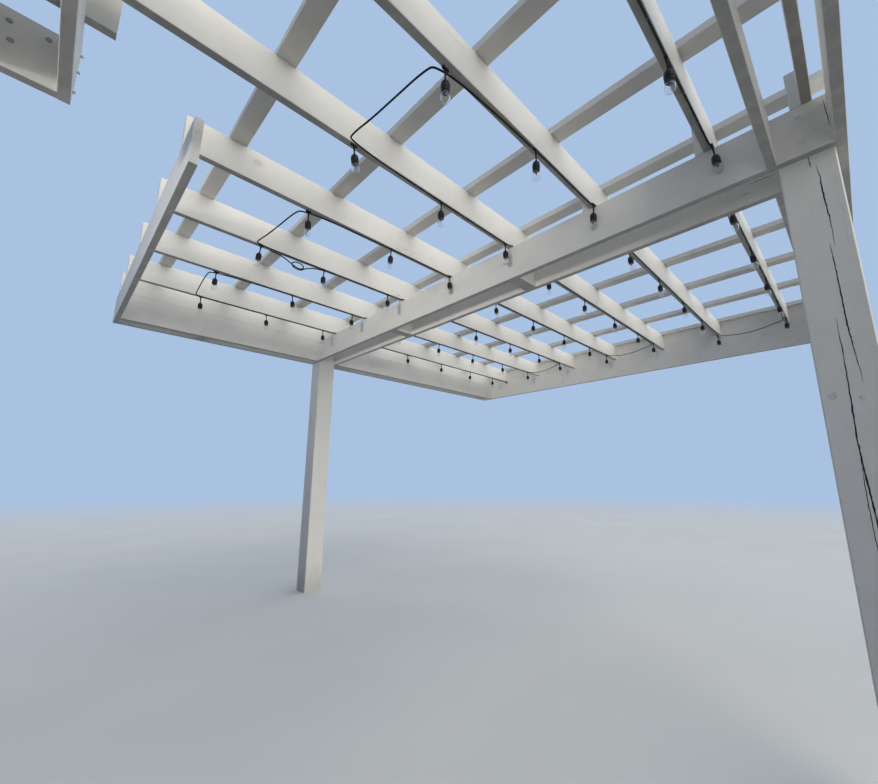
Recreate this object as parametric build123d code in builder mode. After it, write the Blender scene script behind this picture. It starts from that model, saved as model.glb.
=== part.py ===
from build123d import *
from math import radians, tan
import os

os.makedirs("parts", exist_ok=True)

# A white painted timber pergola with string lights, fixed to a wall, in millimetres.
# +X runs along the main beam to the right, +Y runs towards the back wall and +Z is up.
# The origin is the middle of the foot of the right post, at ground level.

# Sawn timber
post_size = 190.0
ply_thickness = 38.0
beam_depth = 235.0
rafter_depth = 184.0
slat_width = 89.0
slat_thickness = 38.0
ledger_depth = 286.0
post_edge = 5.0
board_edge = 2.0

# Posts, beams and the faces of the walls that hold the ledgers
post_spacing = 4480.0
near_post_distance = 2520.0
house_wall_y = 3131.0
beam_underside = 2555.0
masonry_side_x = -1912.0
masonry_face_y = -2002.0

# Rafters and rafter tails, each given by its right face
rafter_pitch = 610.0
first_rafter_x = -318.0
corner_rafter_inset = 40.0
first_tail_x = -500.0
tail_pitch = 610.0
tail_overhang = 400.0
tail_lap = 87.0

# Slats, each given by its front edge
last_near_slat_y = -9.0
near_slat_pitch = 598.0
far_slat_pitch = 606.0

# Spacer blocks between the plies, given by their right or near faces
block_length = 89.0
first_beam_block_x = -1505.0
beam_block_pitch = 1402.0
beam_block_count = 2
girder_block_y = -1370.0

# String lights: a cable under the rafters, with lamp holders on short leads, all few-sided
cable_diameter = 7.0
cable_gap = 0.3
cable_inset = 7.0
beam_crossing_gap = 0.8
crossing_ease = 5.0
crossing_ramp = 25.0
crossing_run = 40.0
crossing_return = 67.0
row_turn_room = 35.0
bend_share = 0.45
bulb_pitch = 610.0
shortest_bulb_gap = 366.0
bulb_room = 25.0
lead_length = 57.0
holder_length = 54.0
holder_diameter = 34.0
holder_shoulder_length = 17.0
holder_shoulder_inset = 7.0
bulb_diameter = 44.0
bulb_neck_length = 30.0
bulb_neck_inset = 8.5
bulb_belly_length = 4.0
bulb_tip_length = 24.0
bulb_tip_inset = 11.0
cable_sides = 6
lead_sides = 4
holder_sides = 8

# Each row of lights: from the near support to its first bulb, on to its second, and its last bulb to the ledger
light_rows = [
    (397.0, 610.0, 255.0),
    (614.0, 604.0, 150.0),
    (559.0, 591.0, 385.0),
    (634.0, 606.0, 305.0),
    (569.0, 478.0, 445.0),
    (459.0, 606.0, 320.0),
    (494.0, 576.0, 415.0),
]

# The cable's turns between rows: share of the way across, then the steps along Y and Z
near_turn = [(0.12, -18.0, -5.0), (0.4, -25.0, -25.0), (0.65, -22.0, -25.0), (0.88, -15.0, -5.0)]
far_turn = [(0.12, 8.0, -10.0), (0.4, -30.0, -50.0), (0.65, -30.0, -50.0), (0.88, 5.0, -12.0)]

# The cable ends in a plug near the ledger and in a cap near the near beam
plug_length = 42.0
plug_diameter = 20.0
plug_run = 60.0
plug_drop = 7.0
last_row_tail = 270.0

# A spare loop of cable hangs in two flat turns beside the row that follows so many others
rows_before_loop_count = 4
loop_start = 630.0
loop_points = [
    (0.0, 0.0, 0.0),
    (0.0, 60.0, -3.0),
    (-2.0, 125.0, -20.0),
    (-4.0, 190.0, -52.0),
    (-5.0, 235.0, -55.0),
    (-6.0, 262.0, -30.0),
    (-7.0, 235.0, -6.0),
    (-8.0, 185.0, -9.0),
    (-10.0, 160.0, -33.0),
    (-12.0, 187.0, -58.0),
    (-14.0, 237.0, -60.0),
    (-15.0, 266.0, -35.0),
    (-12.0, 300.0, -18.0),
    (-4.0, 345.0, -4.0),
    (0.0, 400.0, 0.0),
]

# Places worked out from the sizes above
half_post = post_size / 2
beam_top = beam_underside + beam_depth
rafter_top = beam_top + rafter_depth
left_post_x = -post_spacing
near_post_y = -near_post_distance
left_face_x = left_post_x - half_post
right_face_x = half_post + ply_thickness
main_front_y = -half_post - ply_thickness
main_back_y = half_post + ply_thickness
near_front_y = near_post_y - half_post - ply_thickness
near_back_y = near_post_y + half_post + ply_thickness
ledger_face_y = house_wall_y - ply_thickness
side_ledger_face_y = masonry_face_y + ply_thickness
left_rafter_x = left_post_x + half_post
tail_end_y = near_front_y - tail_overhang
tail_start_y = near_back_y + tail_lap
beam_span_z = (beam_underside, beam_top)
rafter_span_z = (beam_top, rafter_top)
slat_span_z = (rafter_top, rafter_top + slat_thickness)
rafter_count = 1 + int((first_rafter_x - 2 * ply_thickness - left_rafter_x) / rafter_pitch)
tail_count = 1 + int((first_tail_x - ply_thickness - masonry_side_x) / tail_pitch)
near_slat_count = 1 + int((last_near_slat_y - masonry_face_y) / near_slat_pitch)
all_near_slat_count = 1 + int((last_near_slat_y - tail_end_y) / near_slat_pitch)
far_slat_count = 1 + int((house_wall_y - slat_width - main_back_y) / far_slat_pitch)


def save(piece, name):
    """Label a finished piece and write it as a STEP file of the same name."""
    piece.part.label = name
    export_step(piece.part, f"parts/{name}.step")


def make_post(name, x, y):
    """A solid square post with eased corners, from the ground to the top of the beams."""
    with BuildPart() as post:
        with BuildSketch(Plane.XY):
            with Locations((x, y)):
                Rectangle(post_size, post_size)
        extrude(amount=beam_top)
        chamfer(post.edges().filter_by(Axis.Z), post_edge)
    save(post, name)


def make_boards(name, boards, long_axis, z_span):
    """Level boards of one kind, each given by its spans along X and Y, with their long edges eased."""
    z_low, z_high = z_span
    with BuildPart() as lumber:
        with BuildSketch(Plane.XY.offset(z_low)):
            for (x_low, x_high), (y_low, y_high) in boards:
                with Locations(((x_low + x_high) / 2, (y_low + y_high) / 2)):
                    Rectangle(x_high - x_low, y_high - y_low)
        extrude(amount=z_high - z_low)
        chamfer(lumber.edges().filter_by(long_axis), board_edge)
    save(lumber, name)


# Posts
make_post("right_post", 0, 0)
make_post("left_post", left_post_x, 0)
make_post("near_post", 0, near_post_y)

# The main beam is two plies, one on each side of the posts
main_span_x = (left_face_x, half_post)
make_boards("main_beam_front", [(main_span_x, (main_front_y, -half_post))], Axis.X, beam_span_z)
make_boards("main_beam_back", [(main_span_x, (half_post, main_back_y))], Axis.X, beam_span_z)

# The near beam is built the same way, from the side wall to the right girder
near_span_x = (masonry_side_x, half_post)
make_boards(
    "near_beam_front", [(near_span_x, (near_front_y, near_front_y + ply_thickness))], Axis.X, beam_span_z
)
make_boards(
    "near_beam_back", [(near_span_x, (near_back_y - ply_thickness, near_back_y))], Axis.X, beam_span_z
)

# A bearer bolted to the side wall holds the left ends of the near beam's plies
bearer_span_x = (masonry_side_x, masonry_side_x + ply_thickness)
bearer_span_y = (near_post_y - half_post, near_post_y + half_post)
make_boards("masonry_bearer", [(bearer_span_x, bearer_span_y)], Axis.Y, beam_span_z)

# Girders run to the back wall on the lines of the left and right posts, as pairs of plies
left_plies = [
    (left_face_x, left_face_x + ply_thickness),
    (left_rafter_x - ply_thickness, left_rafter_x),
]
near_left_span_y = (side_ledger_face_y, main_front_y)
far_span_y = (main_back_y, ledger_face_y)
make_boards("left_girder_near", [(ply, near_left_span_y) for ply in left_plies], Axis.Y, beam_span_z)
make_boards("left_girder_far", [(ply, far_span_y) for ply in left_plies], Axis.Y, beam_span_z)
inner_span_x = (-half_post - ply_thickness, -half_post)
outer_span_x = (half_post, right_face_x)
make_boards("right_girder_near", [(inner_span_x, (near_back_y, main_front_y))], Axis.Y, beam_span_z)
make_boards("right_girder_far", [(inner_span_x, far_span_y)], Axis.Y, beam_span_z)
make_boards("right_girder_outer", [(outer_span_x, (near_front_y, ledger_face_y))], Axis.Y, beam_span_z)

# Ledgers on the two walls, and the rim board that fills up to the slats
wall_span_x = (left_face_x, right_face_x)
wall_span_y = (ledger_face_y, house_wall_y)
ledger_top = beam_underside + ledger_depth
make_boards("house_ledger", [(wall_span_x, wall_span_y)], Axis.X, (beam_underside, ledger_top))
make_boards("house_rim_board", [(wall_span_x, wall_span_y)], Axis.X, (ledger_top, rafter_top))
side_ledger_span_x = (left_face_x, masonry_side_x)
side_ledger_span_y = (masonry_face_y, side_ledger_face_y)
make_boards("masonry_ledger", [(side_ledger_span_x, side_ledger_span_y)], Axis.X, beam_span_z)

# Spacer blocks hold the plies of the main beam and of the left girder apart
beam_blocks = []
for i in range(beam_block_count):
    block_x = first_beam_block_x - i * beam_block_pitch
    beam_blocks.append(((block_x - block_length, block_x), (-half_post, half_post)))
girder_block_span_x = (left_face_x + ply_thickness, left_rafter_x - ply_thickness)
girder_blocks = [(girder_block_span_x, (girder_block_y, girder_block_y + block_length))]
make_boards("spacer_blocks", beam_blocks + girder_blocks, Axis.Z, beam_span_z)

# Near rafters reach from the near beam, or past the side wall from its ledger, over the main beam
corner_rafter_x = half_post - corner_rafter_inset
near_rafters = [("near_rafter_corner", corner_rafter_x, near_front_y)]
rafter_faces = [first_rafter_x - i * rafter_pitch for i in range(rafter_count)]
for i, right_x in enumerate(rafter_faces):
    start_y = near_front_y if right_x - ply_thickness > masonry_side_x else masonry_face_y
    near_rafters.append((f"near_rafter_{i + 1}", right_x, start_y))
near_rafters.append(("near_rafter_left", left_rafter_x, masonry_face_y))
for name, right_x, start_y in near_rafters:
    span_x = (right_x - ply_thickness, right_x)
    make_boards(name, [(span_x, (start_y, main_back_y))], Axis.Y, rafter_span_z)

# Far rafters lap against the left faces of the near ones and end on the back ledger
for name, right_x, start_y in near_rafters:
    span_x = (right_x - 2 * ply_thickness, right_x - ply_thickness)
    far_name = name.replace("near", "far")
    make_boards(far_name, [(span_x, (main_front_y, ledger_face_y))], Axis.Y, rafter_span_z)

# Rafter tails lap over the near beam and carry the roof past it
tail_x = [corner_rafter_x - ply_thickness] + [first_tail_x - i * tail_pitch for i in range(tail_count)]
tails = [((x - ply_thickness, x), (tail_end_y, tail_start_y)) for x in tail_x]
make_boards("rafter_tails", tails, Axis.Y, rafter_span_z)

# Slats lie flat across the rafters, and stop at the side wall beside the tails
full_span_x = (left_face_x, right_face_x)
tail_slat_span_x = (masonry_side_x, right_face_x)
near_slats = []
tail_slats = []
for i in range(all_near_slat_count):
    slat_y = last_near_slat_y - i * near_slat_pitch
    slat_span_y = (slat_y, slat_y + slat_width)
    if i < near_slat_count:
        near_slats.append((full_span_x, slat_span_y))
    else:
        tail_slats.append((tail_slat_span_x, slat_span_y))
far_slats = []
for i in range(far_slat_count):
    slat_y = house_wall_y - slat_width - i * far_slat_pitch
    far_slats.append((full_span_x, (slat_y, slat_y + slat_width)))
make_boards("near_slats", near_slats, Axis.X, slat_span_z)
make_boards("far_slats", far_slats, Axis.X, slat_span_z)
make_boards("tail_slats", tail_slats, Axis.X, slat_span_z)

# Levels of the cable under the rafters and over the main beam, and the top of the leads
cable_radius = cable_diameter / 2
under_z = beam_top - cable_gap - cable_radius
over_z = beam_top + beam_crossing_gap + cable_radius
lead_top_z = under_z - cable_radius - cable_gap
front_bulb_y = main_front_y - bulb_room


def row_bulbs(start_y, second_y, end_y):
    """Places of one row's bulbs along Y. One that would meet the main beam hangs just in front of it."""
    places = [start_y]
    y = second_y
    while y < end_y - shortest_bulb_gap:
        clear = y < front_bulb_y - crossing_run or y > main_back_y + bulb_room
        places.append(y if clear else front_bulb_y)
        y += bulb_pitch
    return places + [end_y]


def row_route(right_x, start_x, start_y, second_y, end_y):
    """The cable along one rafter line: under the near rafter, over the main beam, under the far one."""
    near_x = right_x - cable_inset
    side_x = right_x + cable_radius + cable_gap
    far_x = near_x - ply_thickness
    route = [(start_x, start_y, under_z)]
    if start_x != near_x:
        route.append((near_x, second_y, under_z))
    route.append((near_x, front_bulb_y - crossing_run, under_z))
    route.append((side_x, front_bulb_y, under_z))
    route.append((side_x, main_front_y - crossing_ease, over_z))
    route.append((side_x, main_back_y + crossing_ease, over_z))
    route.append((side_x, main_back_y + crossing_ease + crossing_ramp, under_z))
    route.append((far_x, main_back_y + crossing_ease + crossing_ramp + crossing_return, under_z))
    route.append((far_x, end_y, under_z))
    return route


def turn_between(last, following, shape):
    """The points of a free turn between the ends of two rows."""
    points = []
    for share, step_y, step_z in shape:
        x = last[0] + share * (following[0] - last[0])
        y = last[1] + share * (following[1] - last[1]) + step_y
        points.append((x, y, last[2] + step_z))
    return points


def corner_radii(points):
    """The largest neat arc at each corner of a route, from its shorter run and its turn."""
    radii = []
    for before, corner, after in zip(points, points[1:], points[2:]):
        run_in = Vector(*corner) - Vector(*before)
        run_out = Vector(*after) - Vector(*corner)
        half_turn = radians(run_in.get_angle(run_out)) / 2
        radii.append(bend_share * min(run_in.length, run_out.length) / tan(half_turn))
    return radii


def make_cable(name, points):
    """A cable of even thickness along straight runs joined by tangent arcs."""
    radii = corner_radii(points)
    print(name, "corner radii:", [round(radius) for radius in radii])
    with BuildPart() as cable:
        with BuildLine() as route:
            FilletPolyline(*points, radius=radii)
        with BuildSketch(Plane(origin=route.line @ 0, z_dir=route.line % 0)):
            RegularPolygon(cable_radius, cable_sides)
        sweep()
    length = sum(edge.length for edge in route.edges())
    print(name, "length:", round(length), "volume over section:", round(cable.part.volume / length, 3))
    save(cable, name)


# The cable follows the rows back and forth, near to far and far to near by turns
row_total = min(rafter_count, len(light_rows))
ends_far = row_total % 2 == 1
rows = []
bulbs = []
for i, (start_gap, second_gap, end_gap) in enumerate(light_rows[:row_total]):
    right_x = rafter_faces[i]
    start_y = (side_ledger_face_y if i else near_back_y) + start_gap
    second_y = start_y + second_gap
    end_y = ledger_face_y - end_gap
    on_left = i % 2 == 1
    start_x = right_x - ply_thickness + cable_inset if on_left else right_x - cable_inset
    for y in row_bulbs(start_y, second_y, end_y):
        near_row_x = start_x if y == start_y else right_x - cable_inset
        beside_beam_x = right_x + cable_radius + cable_gap
        near_x = beside_beam_x if y == front_bulb_y else near_row_x
        bulbs.append((near_x if y < 0 else right_x - ply_thickness - cable_inset, y))
    past_end = last_row_tail if ends_far and i + 1 == row_total else row_turn_room
    rows.append(row_route(right_x, start_x, start_y - row_turn_room, second_y, end_y + past_end))

cable_route = []
for i, row in enumerate(rows):
    ordered = row if i % 2 == 0 else row[::-1]
    if cable_route:
        shape = far_turn if i % 2 == 1 else near_turn
        cable_route += turn_between(cable_route[-1], ordered[0], shape)
    cable_route += ordered

# Both ends dip so that the plug and the cap hang clear of the rafters
first_x, first_y, first_z = cable_route[0]
last_x, last_y, last_z = cable_route[-1]
cable_route.insert(0, (first_x, first_y - plug_run, first_z - plug_drop))
last_run = plug_run if ends_far else -plug_run
cable_route.append((last_x, last_y + last_run, last_z - plug_drop))
make_cable("light_cable", cable_route)

# The spare loop starts and ends close under the cable
loop_x = rafter_faces[min(rows_before_loop_count, row_total - 1)] - cable_inset
loop_y = side_ledger_face_y + loop_start
loop_z = under_z - cable_diameter - cable_gap
make_cable("slack_loop", [(loop_x + x, loop_y + y, loop_z + z) for x, y, z in loop_points])


def make_lamp_part(top_z, diameter, length, top_cut, tip_cut=None):
    """A many-sided body that narrows at its top and, for a bulb, at its tip; a cut is a length and an inset."""
    with BuildPart() as body:
        with BuildSketch(Plane.XY.offset(top_z)):
            RegularPolygon(diameter / 2, holder_sides, major_radius=False)
        extrude(amount=-length)
        top = body.faces().sort_by(Axis.Z)[-1]
        tip = body.faces().sort_by(Axis.Z)[0]
        chamfer(top.edges(), top_cut[1], top_cut[0], reference=top)
        if tip_cut:
            chamfer(tip.edges(), tip_cut[1], tip_cut[0], reference=tip)
    return body.part


# Lamp holders hang from the cable on their leads, and clear bulbs from the holders
holder_top_z = lead_top_z - lead_length
bulb_top_z = holder_top_z - holder_length
holder_shoulder = (holder_shoulder_length, holder_shoulder_inset)
holder = make_lamp_part(holder_top_z, holder_diameter, holder_length, holder_shoulder)
with BuildPart() as light_sockets:
    with BuildSketch(Plane.XY.offset(lead_top_z)):
        with Locations(*bulbs):
            RegularPolygon(cable_radius, lead_sides)
    extrude(amount=-lead_length)
    with Locations(*bulbs):
        add(holder)
save(light_sockets, "light_sockets")

bulb_length = bulb_neck_length + bulb_belly_length + bulb_tip_length
bulb_neck = (bulb_neck_length, bulb_neck_inset)
bulb_tip = (bulb_tip_length, bulb_tip_inset)
bulb = make_lamp_part(bulb_top_z, bulb_diameter, bulb_length, bulb_neck, bulb_tip)
with BuildPart() as light_bulbs:
    with Locations(*bulbs):
        add(bulb)
save(light_bulbs, "light_bulbs")

# The plug and the cap close the two ends of the cable
with BuildPart() as cable_ends:
    for end, beside in ((cable_route[0], cable_route[1]), (cable_route[-1], cable_route[-2])):
        with BuildSketch(Plane(origin=end, z_dir=Vector(*end) - Vector(*beside))):
            RegularPolygon(plug_diameter / 2, holder_sides)
        extrude(amount=plug_length)
save(cable_ends, "cable_ends")
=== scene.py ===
"""A white painted timber pergola with string lights: finishes, fixings, lamps, stage and camera."""

import math
import random

import bmesh
import bpy
from mathutils import Matrix, Vector


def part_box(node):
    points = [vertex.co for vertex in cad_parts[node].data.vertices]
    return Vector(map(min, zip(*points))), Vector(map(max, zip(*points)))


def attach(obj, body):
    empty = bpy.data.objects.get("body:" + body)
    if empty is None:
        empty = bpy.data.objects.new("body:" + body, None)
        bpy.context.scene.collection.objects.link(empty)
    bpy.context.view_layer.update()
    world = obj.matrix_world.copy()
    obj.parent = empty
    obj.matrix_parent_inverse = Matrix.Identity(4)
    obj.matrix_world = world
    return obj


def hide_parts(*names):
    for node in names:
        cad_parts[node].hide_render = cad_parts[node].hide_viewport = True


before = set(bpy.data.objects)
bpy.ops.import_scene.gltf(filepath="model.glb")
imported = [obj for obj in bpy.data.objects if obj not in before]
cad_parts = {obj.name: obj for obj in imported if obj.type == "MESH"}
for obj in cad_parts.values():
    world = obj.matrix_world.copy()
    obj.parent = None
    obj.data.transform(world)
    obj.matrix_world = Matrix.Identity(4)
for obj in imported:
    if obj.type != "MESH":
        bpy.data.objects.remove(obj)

bl_info = {
    "name": "Painted Timber Pergola",
    "version": (1, 0, 0),
    "blender": (4, 5, 0),
    "location": "View3D > Sidebar > Pergola",
    "description": "Paints the pergola's timber, bolts it together and hangs its string lights",
    "category": "Object",
}

ROOT = "root"

# Faces of the timber, read from the packed frame, in metres
RIGHT_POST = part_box("right_post")
LEFT_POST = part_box("left_post")
NEAR_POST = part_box("near_post")
BEAM_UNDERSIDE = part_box("main_beam_front")[0].z
BEAM_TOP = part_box("main_beam_front")[1].z
SLAT_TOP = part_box("near_slats")[1].z
MAIN_FRONT_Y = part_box("main_beam_front")[0].y
MAIN_BACK_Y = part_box("main_beam_back")[1].y
NEAR_FRONT_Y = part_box("near_beam_front")[0].y
NEAR_BACK_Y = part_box("near_beam_back")[1].y
LEDGER_FACE_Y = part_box("house_ledger")[0].y
SIDE_LEDGER_FACE_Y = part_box("masonry_ledger")[1].y
BEARER_FACE_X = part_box("masonry_bearer")[1].x
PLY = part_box("main_beam_front")[1].y - MAIN_FRONT_Y

# Boards whose grain runs along X and along Z; in all others it runs along Y
GRAIN_X = (
    "main_beam_front", "main_beam_back", "near_beam_front", "near_beam_back", "house_ledger",
    "house_rim_board", "masonry_ledger", "near_slats", "far_slats", "tail_slats",
)
GRAIN_Z = ("right_post", "left_post", "near_post", "spacer_blocks")
NOT_TIMBER = ("light_cable", "slack_loop", "light_sockets", "light_bulbs", "cable_ends")
RAFTERS = ("near_rafter", "far_rafter")

# String lights, in metres
CABLE_DIAMETER = 0.0084
CABLE_GAP = 0.0003
CABLE_INSET = 0.007
BEAM_CROSSING_GAP = 0.0008
CROSSING_EASE = 0.005
CROSSING_RAMP = 0.025
CROSSING_RUN = 0.040
CROSSING_RETURN = 0.067
HELD_HEIGHTS = (0.0002, 0.0020)
ROW_TURN_ROOM = 0.035
BULB_PITCH = 0.610
SHORTEST_BULB_GAP = 0.366
BULB_ROOM = 0.025
PLUG_RUN = 0.060
PLUG_DROP = 0.007
LAST_ROW_TAIL = 0.270
UNDER_Z = BEAM_TOP - CABLE_GAP - CABLE_DIAMETER / 2
OVER_Z = BEAM_TOP + BEAM_CROSSING_GAP + CABLE_DIAMETER / 2
LEAD_TOP_Z = UNDER_Z - CABLE_DIAMETER / 2 - CABLE_GAP
FRONT_BULB_Y = MAIN_FRONT_Y - BULB_ROOM

# Each row of lights: gap to its first bulb, on to its second, and from its last to the house ledger
LIGHT_ROWS = (
    (0.397, 0.610, 0.255),
    (0.614, 0.604, 0.150),
    (0.559, 0.591, 0.385),
    (0.634, 0.606, 0.305),
    (0.569, 0.478, 0.445),
    (0.459, 0.606, 0.320),
    (0.494, 0.576, 0.415),
)

# The cable's turns between rows: share of the way across, then the steps along Y and Z
NEAR_TURN = ((0.12, -0.018, -0.005), (0.4, -0.025, -0.025), (0.65, -0.022, -0.025), (0.88, -0.015, -0.005))
FAR_TURN = ((0.12, 0.008, -0.010), (0.4, -0.030, -0.050), (0.65, -0.030, -0.050), (0.88, 0.005, -0.012))

# The spare loop beside the fifth row
LOOP_ROW = 4
LOOP_START = 0.630
LOOP_POINTS = (
    (0.0, 0.0, 0.0), (0.0, 0.060, -0.003), (-0.002, 0.125, -0.020), (-0.004, 0.190, -0.052),
    (-0.005, 0.235, -0.055), (-0.006, 0.262, -0.030), (-0.007, 0.235, -0.006), (-0.008, 0.185, -0.009),
    (-0.010, 0.160, -0.033), (-0.012, 0.187, -0.058), (-0.014, 0.237, -0.060), (-0.015, 0.266, -0.035),
    (-0.012, 0.300, -0.018), (-0.004, 0.345, -0.004), (0.0, 0.400, 0.0),
)

# Staples hold the cable at these shares of the way between two bulbs
STAPLE_SHARES = (0.33, 0.67)

# A staple's wire radius, its room beside the cable, its bite into the board and where its legs bend
STAPLE_WIRE = 0.0008
STAPLE_ROOM = 0.0016
STAPLE_BITE = 0.0015
STAPLE_BEND = 0.002

# The moulded branch on the cable: its size, how far it hangs below the cable's middle, its rounding
BRANCH_SIZE = (0.0125, 0.036, 0.0115)
BRANCH_DROP = 0.0016
BRANCH_ROUNDING = 0.0042

# Profiles of the lamp parts, as radius and height from the top of the lead
LEAD_PROFILE = (
    (0.0000, 0.0000), (0.0064, 0.0000), (0.0066, -0.0040), (0.0058, -0.0110), (0.0046, -0.0190),
    (0.0040, -0.0230), (0.0039, -0.0520), (0.0000, -0.0520),
)
HOLDER_PROFILE = (
    (0.0000, -0.0480), (0.0048, -0.0480), (0.0056, -0.0520), (0.0090, -0.0546), (0.0132, -0.0582),
    (0.0164, -0.0632), (0.0184, -0.0700), (0.0190, -0.0770), (0.0188, -0.0860), (0.0181, -0.0918),
    (0.0173, -0.0930), (0.0173, -0.0944), (0.0179, -0.0956), (0.0176, -0.1020), (0.0168, -0.1054),
    (0.0157, -0.1064), (0.0147, -0.1050), (0.0144, -0.1000), (0.0144, -0.0960), (0.0000, -0.0960),
)
GLASS_PROFILE = (
    (0.0126, -0.0990), (0.0130, -0.1065), (0.0148, -0.1108), (0.0176, -0.1162), (0.0194, -0.1222),
    (0.0200, -0.1286), (0.0197, -0.1348), (0.0183, -0.1410), (0.0156, -0.1464), (0.0116, -0.1502),
    (0.0064, -0.1521), (0.0000, -0.1526),
)
COLLAR_PROFILE = (
    (0.0132, -0.0970), (0.0138, -0.0970), (0.0139, -0.1068), (0.0134, -0.1074), (0.0132, -0.1062),
)
GLASS_WALL = 0.0007
STEM_PROFILE = (
    (0.0000, -0.1000), (0.0050, -0.1000), (0.0044, -0.1090), (0.0030, -0.1170), (0.0025, -0.1215),
    (0.0000, -0.1225),
)

# The wires inside a bulb, and the zigzag filament that they hold
WIRE_TOP_Z = -0.1205
WIRE_BEND_Z = -0.1255
WIRE_TOP_X = 0.0015
WIRE_BEND_X = 0.0022
WIRE_RADIUS = 0.00030
FILAMENT_Z = -0.1330
FILAMENT_HALF = 0.0080
FILAMENT_STEPS = 8
FILAMENT_SWING = 0.0006
FILAMENT_RISE = 0.0012
FILAMENT_RADIUS = 0.00035

# Profiles of the cable's two ends, as radius and distance past the end
PLUG_PROFILE = (
    (0.0000, -0.0030), (0.0048, -0.0030), (0.0052, 0.0040), (0.0078, 0.0120), (0.0098, 0.0160),
    (0.0100, 0.0200), (0.0094, 0.0225), (0.0094, 0.0245), (0.0100, 0.0270), (0.0100, 0.0390),
    (0.0092, 0.0405), (0.0000, 0.0405),
)
CAP_PROFILE = (
    (0.0000, -0.0030), (0.0050, -0.0030), (0.0056, 0.0030), (0.0090, 0.0080), (0.0098, 0.0110),
    (0.0100, 0.0340), (0.0088, 0.0390), (0.0060, 0.0412), (0.0000, 0.0420),
)

# The plug's two blades: their size, how far apart they are and how far they reach into the plug
PLUG_BLADE = (0.0016, 0.0064, 0.0160)
PLUG_BLADE_SPACING = 0.0110
PLUG_BLADE_SEAT = 0.001

# How round each kind of turned item is
BULB_SIDES = 24
HOLDER_SIDES = 20
LEAD_SIDES = 12
BOLT_SIDES = 24
SCREW_SIDES = 10

# Profiles of the fixings, as radius and height over the board's face; SEAT is how deep they start in it
SEAT = -0.001
DOME_HEIGHT = 0.0062
DOME_TOP = 0.0063
DOME_ANGLES = (4.0, 20.0, 36.0, 52.0, 68.0, 84.0)
WASHER_TOP = 0.0028
NUT_PROFILE = (
    (0.0, 0.0028), (0.0110, 0.0028), (0.0125, 0.0038), (0.0125, 0.0125), (0.0110, 0.0135), (0.0, 0.0135),
)
BOLT_END_PROFILE = ((0.0, 0.0135), (0.0060, 0.0135), (0.0060, 0.0200), (0.0052, 0.0208), (0.0, 0.0208))
STUB_PROFILE = ((0.0, SEAT), (0.0052, SEAT), (0.0050, 0.0060), (0.0036, 0.0086), (0.0, 0.0092))
NAIL_PROFILE = ((0.0, SEAT), (0.0040, SEAT), (0.0042, 0.0005), (0.0034, 0.0010), (0.0, 0.0011))
SCREW_RISE = 0.00015
SCREW_RECESS = -0.0006
SCREW_RECESS_FLOOR = -0.0007

# Fixings are turned at random by up to this angle, in radians
ANY_SPIN = 3.0

# Places of the fixings, in metres, and of the slat screws as shares of a slat's width
BOLT_BELOW_TOP = 0.046
BOLT_ABOVE_UNDERSIDE = 0.060
BEARER_BOLTS = ((-2.570, 2.738), (-2.557, 2.666), (-2.472, 2.744))
BEARER_END_HEIGHTS = (2.600, 2.690, 2.765)
LEDGER_BOLT_START = 0.33
LEDGER_BOLT_END = 0.30
LEDGER_BOLT_HEIGHTS = (0.175, 0.060)
SLAT_SCREW_SHARES = (0.28, 0.72)
NAIL_HEIGHTS = (0.022, 0.045)
NAIL_DRIFT = 0.008
LEDGER_NAIL_BACK = 0.02
BEAM_END_NAILS = ((0.076, 2.745), (0.076, 2.603), (0.044, 2.640), (-0.035, 2.723), (-0.014, 2.681))

# Splits in the faces of posts and beams: points along and up the face, widest opening and depth
RIGHT_POST_SPLITS = (
    (((0.007, 2.571), (0.009, 2.500)), 0.005, 0.020),
    (((0.026, 2.505), (0.031, 2.436), (0.029, 2.398), (0.032, 2.299), (0.035, 2.237), (0.032, 2.112)),
     0.006, 0.030),
    (((0.019, 2.140), (0.021, 2.070), (0.022, 1.929), (0.022, 1.781), (0.026, 1.692), (0.033, 1.545)),
     0.006, 0.030),
    (((-0.006, 1.830), (-0.006, 1.677), (-0.010, 1.495), (-0.014, 1.331), (-0.012, 1.222), (-0.008, 1.125),
      (-0.005, 1.022), (-0.009, 0.860), (-0.004, 0.700)), 0.007, 0.035),
    (((-0.015, 1.275), (-0.019, 1.106), (-0.018, 0.939), (-0.021, 0.820)), 0.004, 0.020),
)
BACK_PLY_SPLITS = (
    (((-0.231, 2.661), (-0.170, 2.663), (-0.108, 2.661)), 0.004, 0.012),
    (((-0.270, 2.614), (-0.245, 2.616), (-0.222, 2.615)), 0.003, 0.010),
)
FRONT_PLY_SPLITS = (
    (((0.084, 2.772), (0.086, 2.735), (0.088, 2.690), (0.089, 2.655), (0.090, 2.625)), 0.004, 0.014),
)

# A split's steps between two of its points, its wander, its narrowest share, and its cutter's overhang
SPLIT_STEPS = 9
SPLIT_WANDER = 0.0011
SPLIT_NARROWEST = 0.55
CUTTER_PROUD = 0.002

# Knots that show through the right post's paint: place along and up its face, and reach
POST_KNOTS = ((-0.060, 1.508, 0.020), (0.021, 1.489, 0.013))

# How worn the paint is on boards along X and on the others, and how much painted shade darkens the
# undersides of slats and of others
ALONG_X_WEAR = 0.75
OTHER_WEAR = 0.6
SLAT_UNDERSIDE_SHADE = 0.15
OTHER_UNDERSIDE_SHADE = 0.9

# How much lighter than its darkest places the wood inside a split gets
SPLIT_LIGHTER = 2.2

# Each board shows another place of the pattern, up to this far away along each axis
PATTERN_SHIFT = 40.0

# Marks on the painted timber: how often each repeats in a metre, along the grain first
GRAIN_REPEAT = (2.2, 70.0, 70.0)
SAW_REPEAT = (30.0, 380.0, 380.0)
BRUSH_REPEAT = (1.0, 190.0, 190.0)
KNOT_REPEAT = (3.4, 4.6, 4.6)
CHECK_REPEAT = (0.9, 26.0, 26.0)
CHECK_PATCH_REPEAT = (1.6, 7.0, 7.0)

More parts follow.
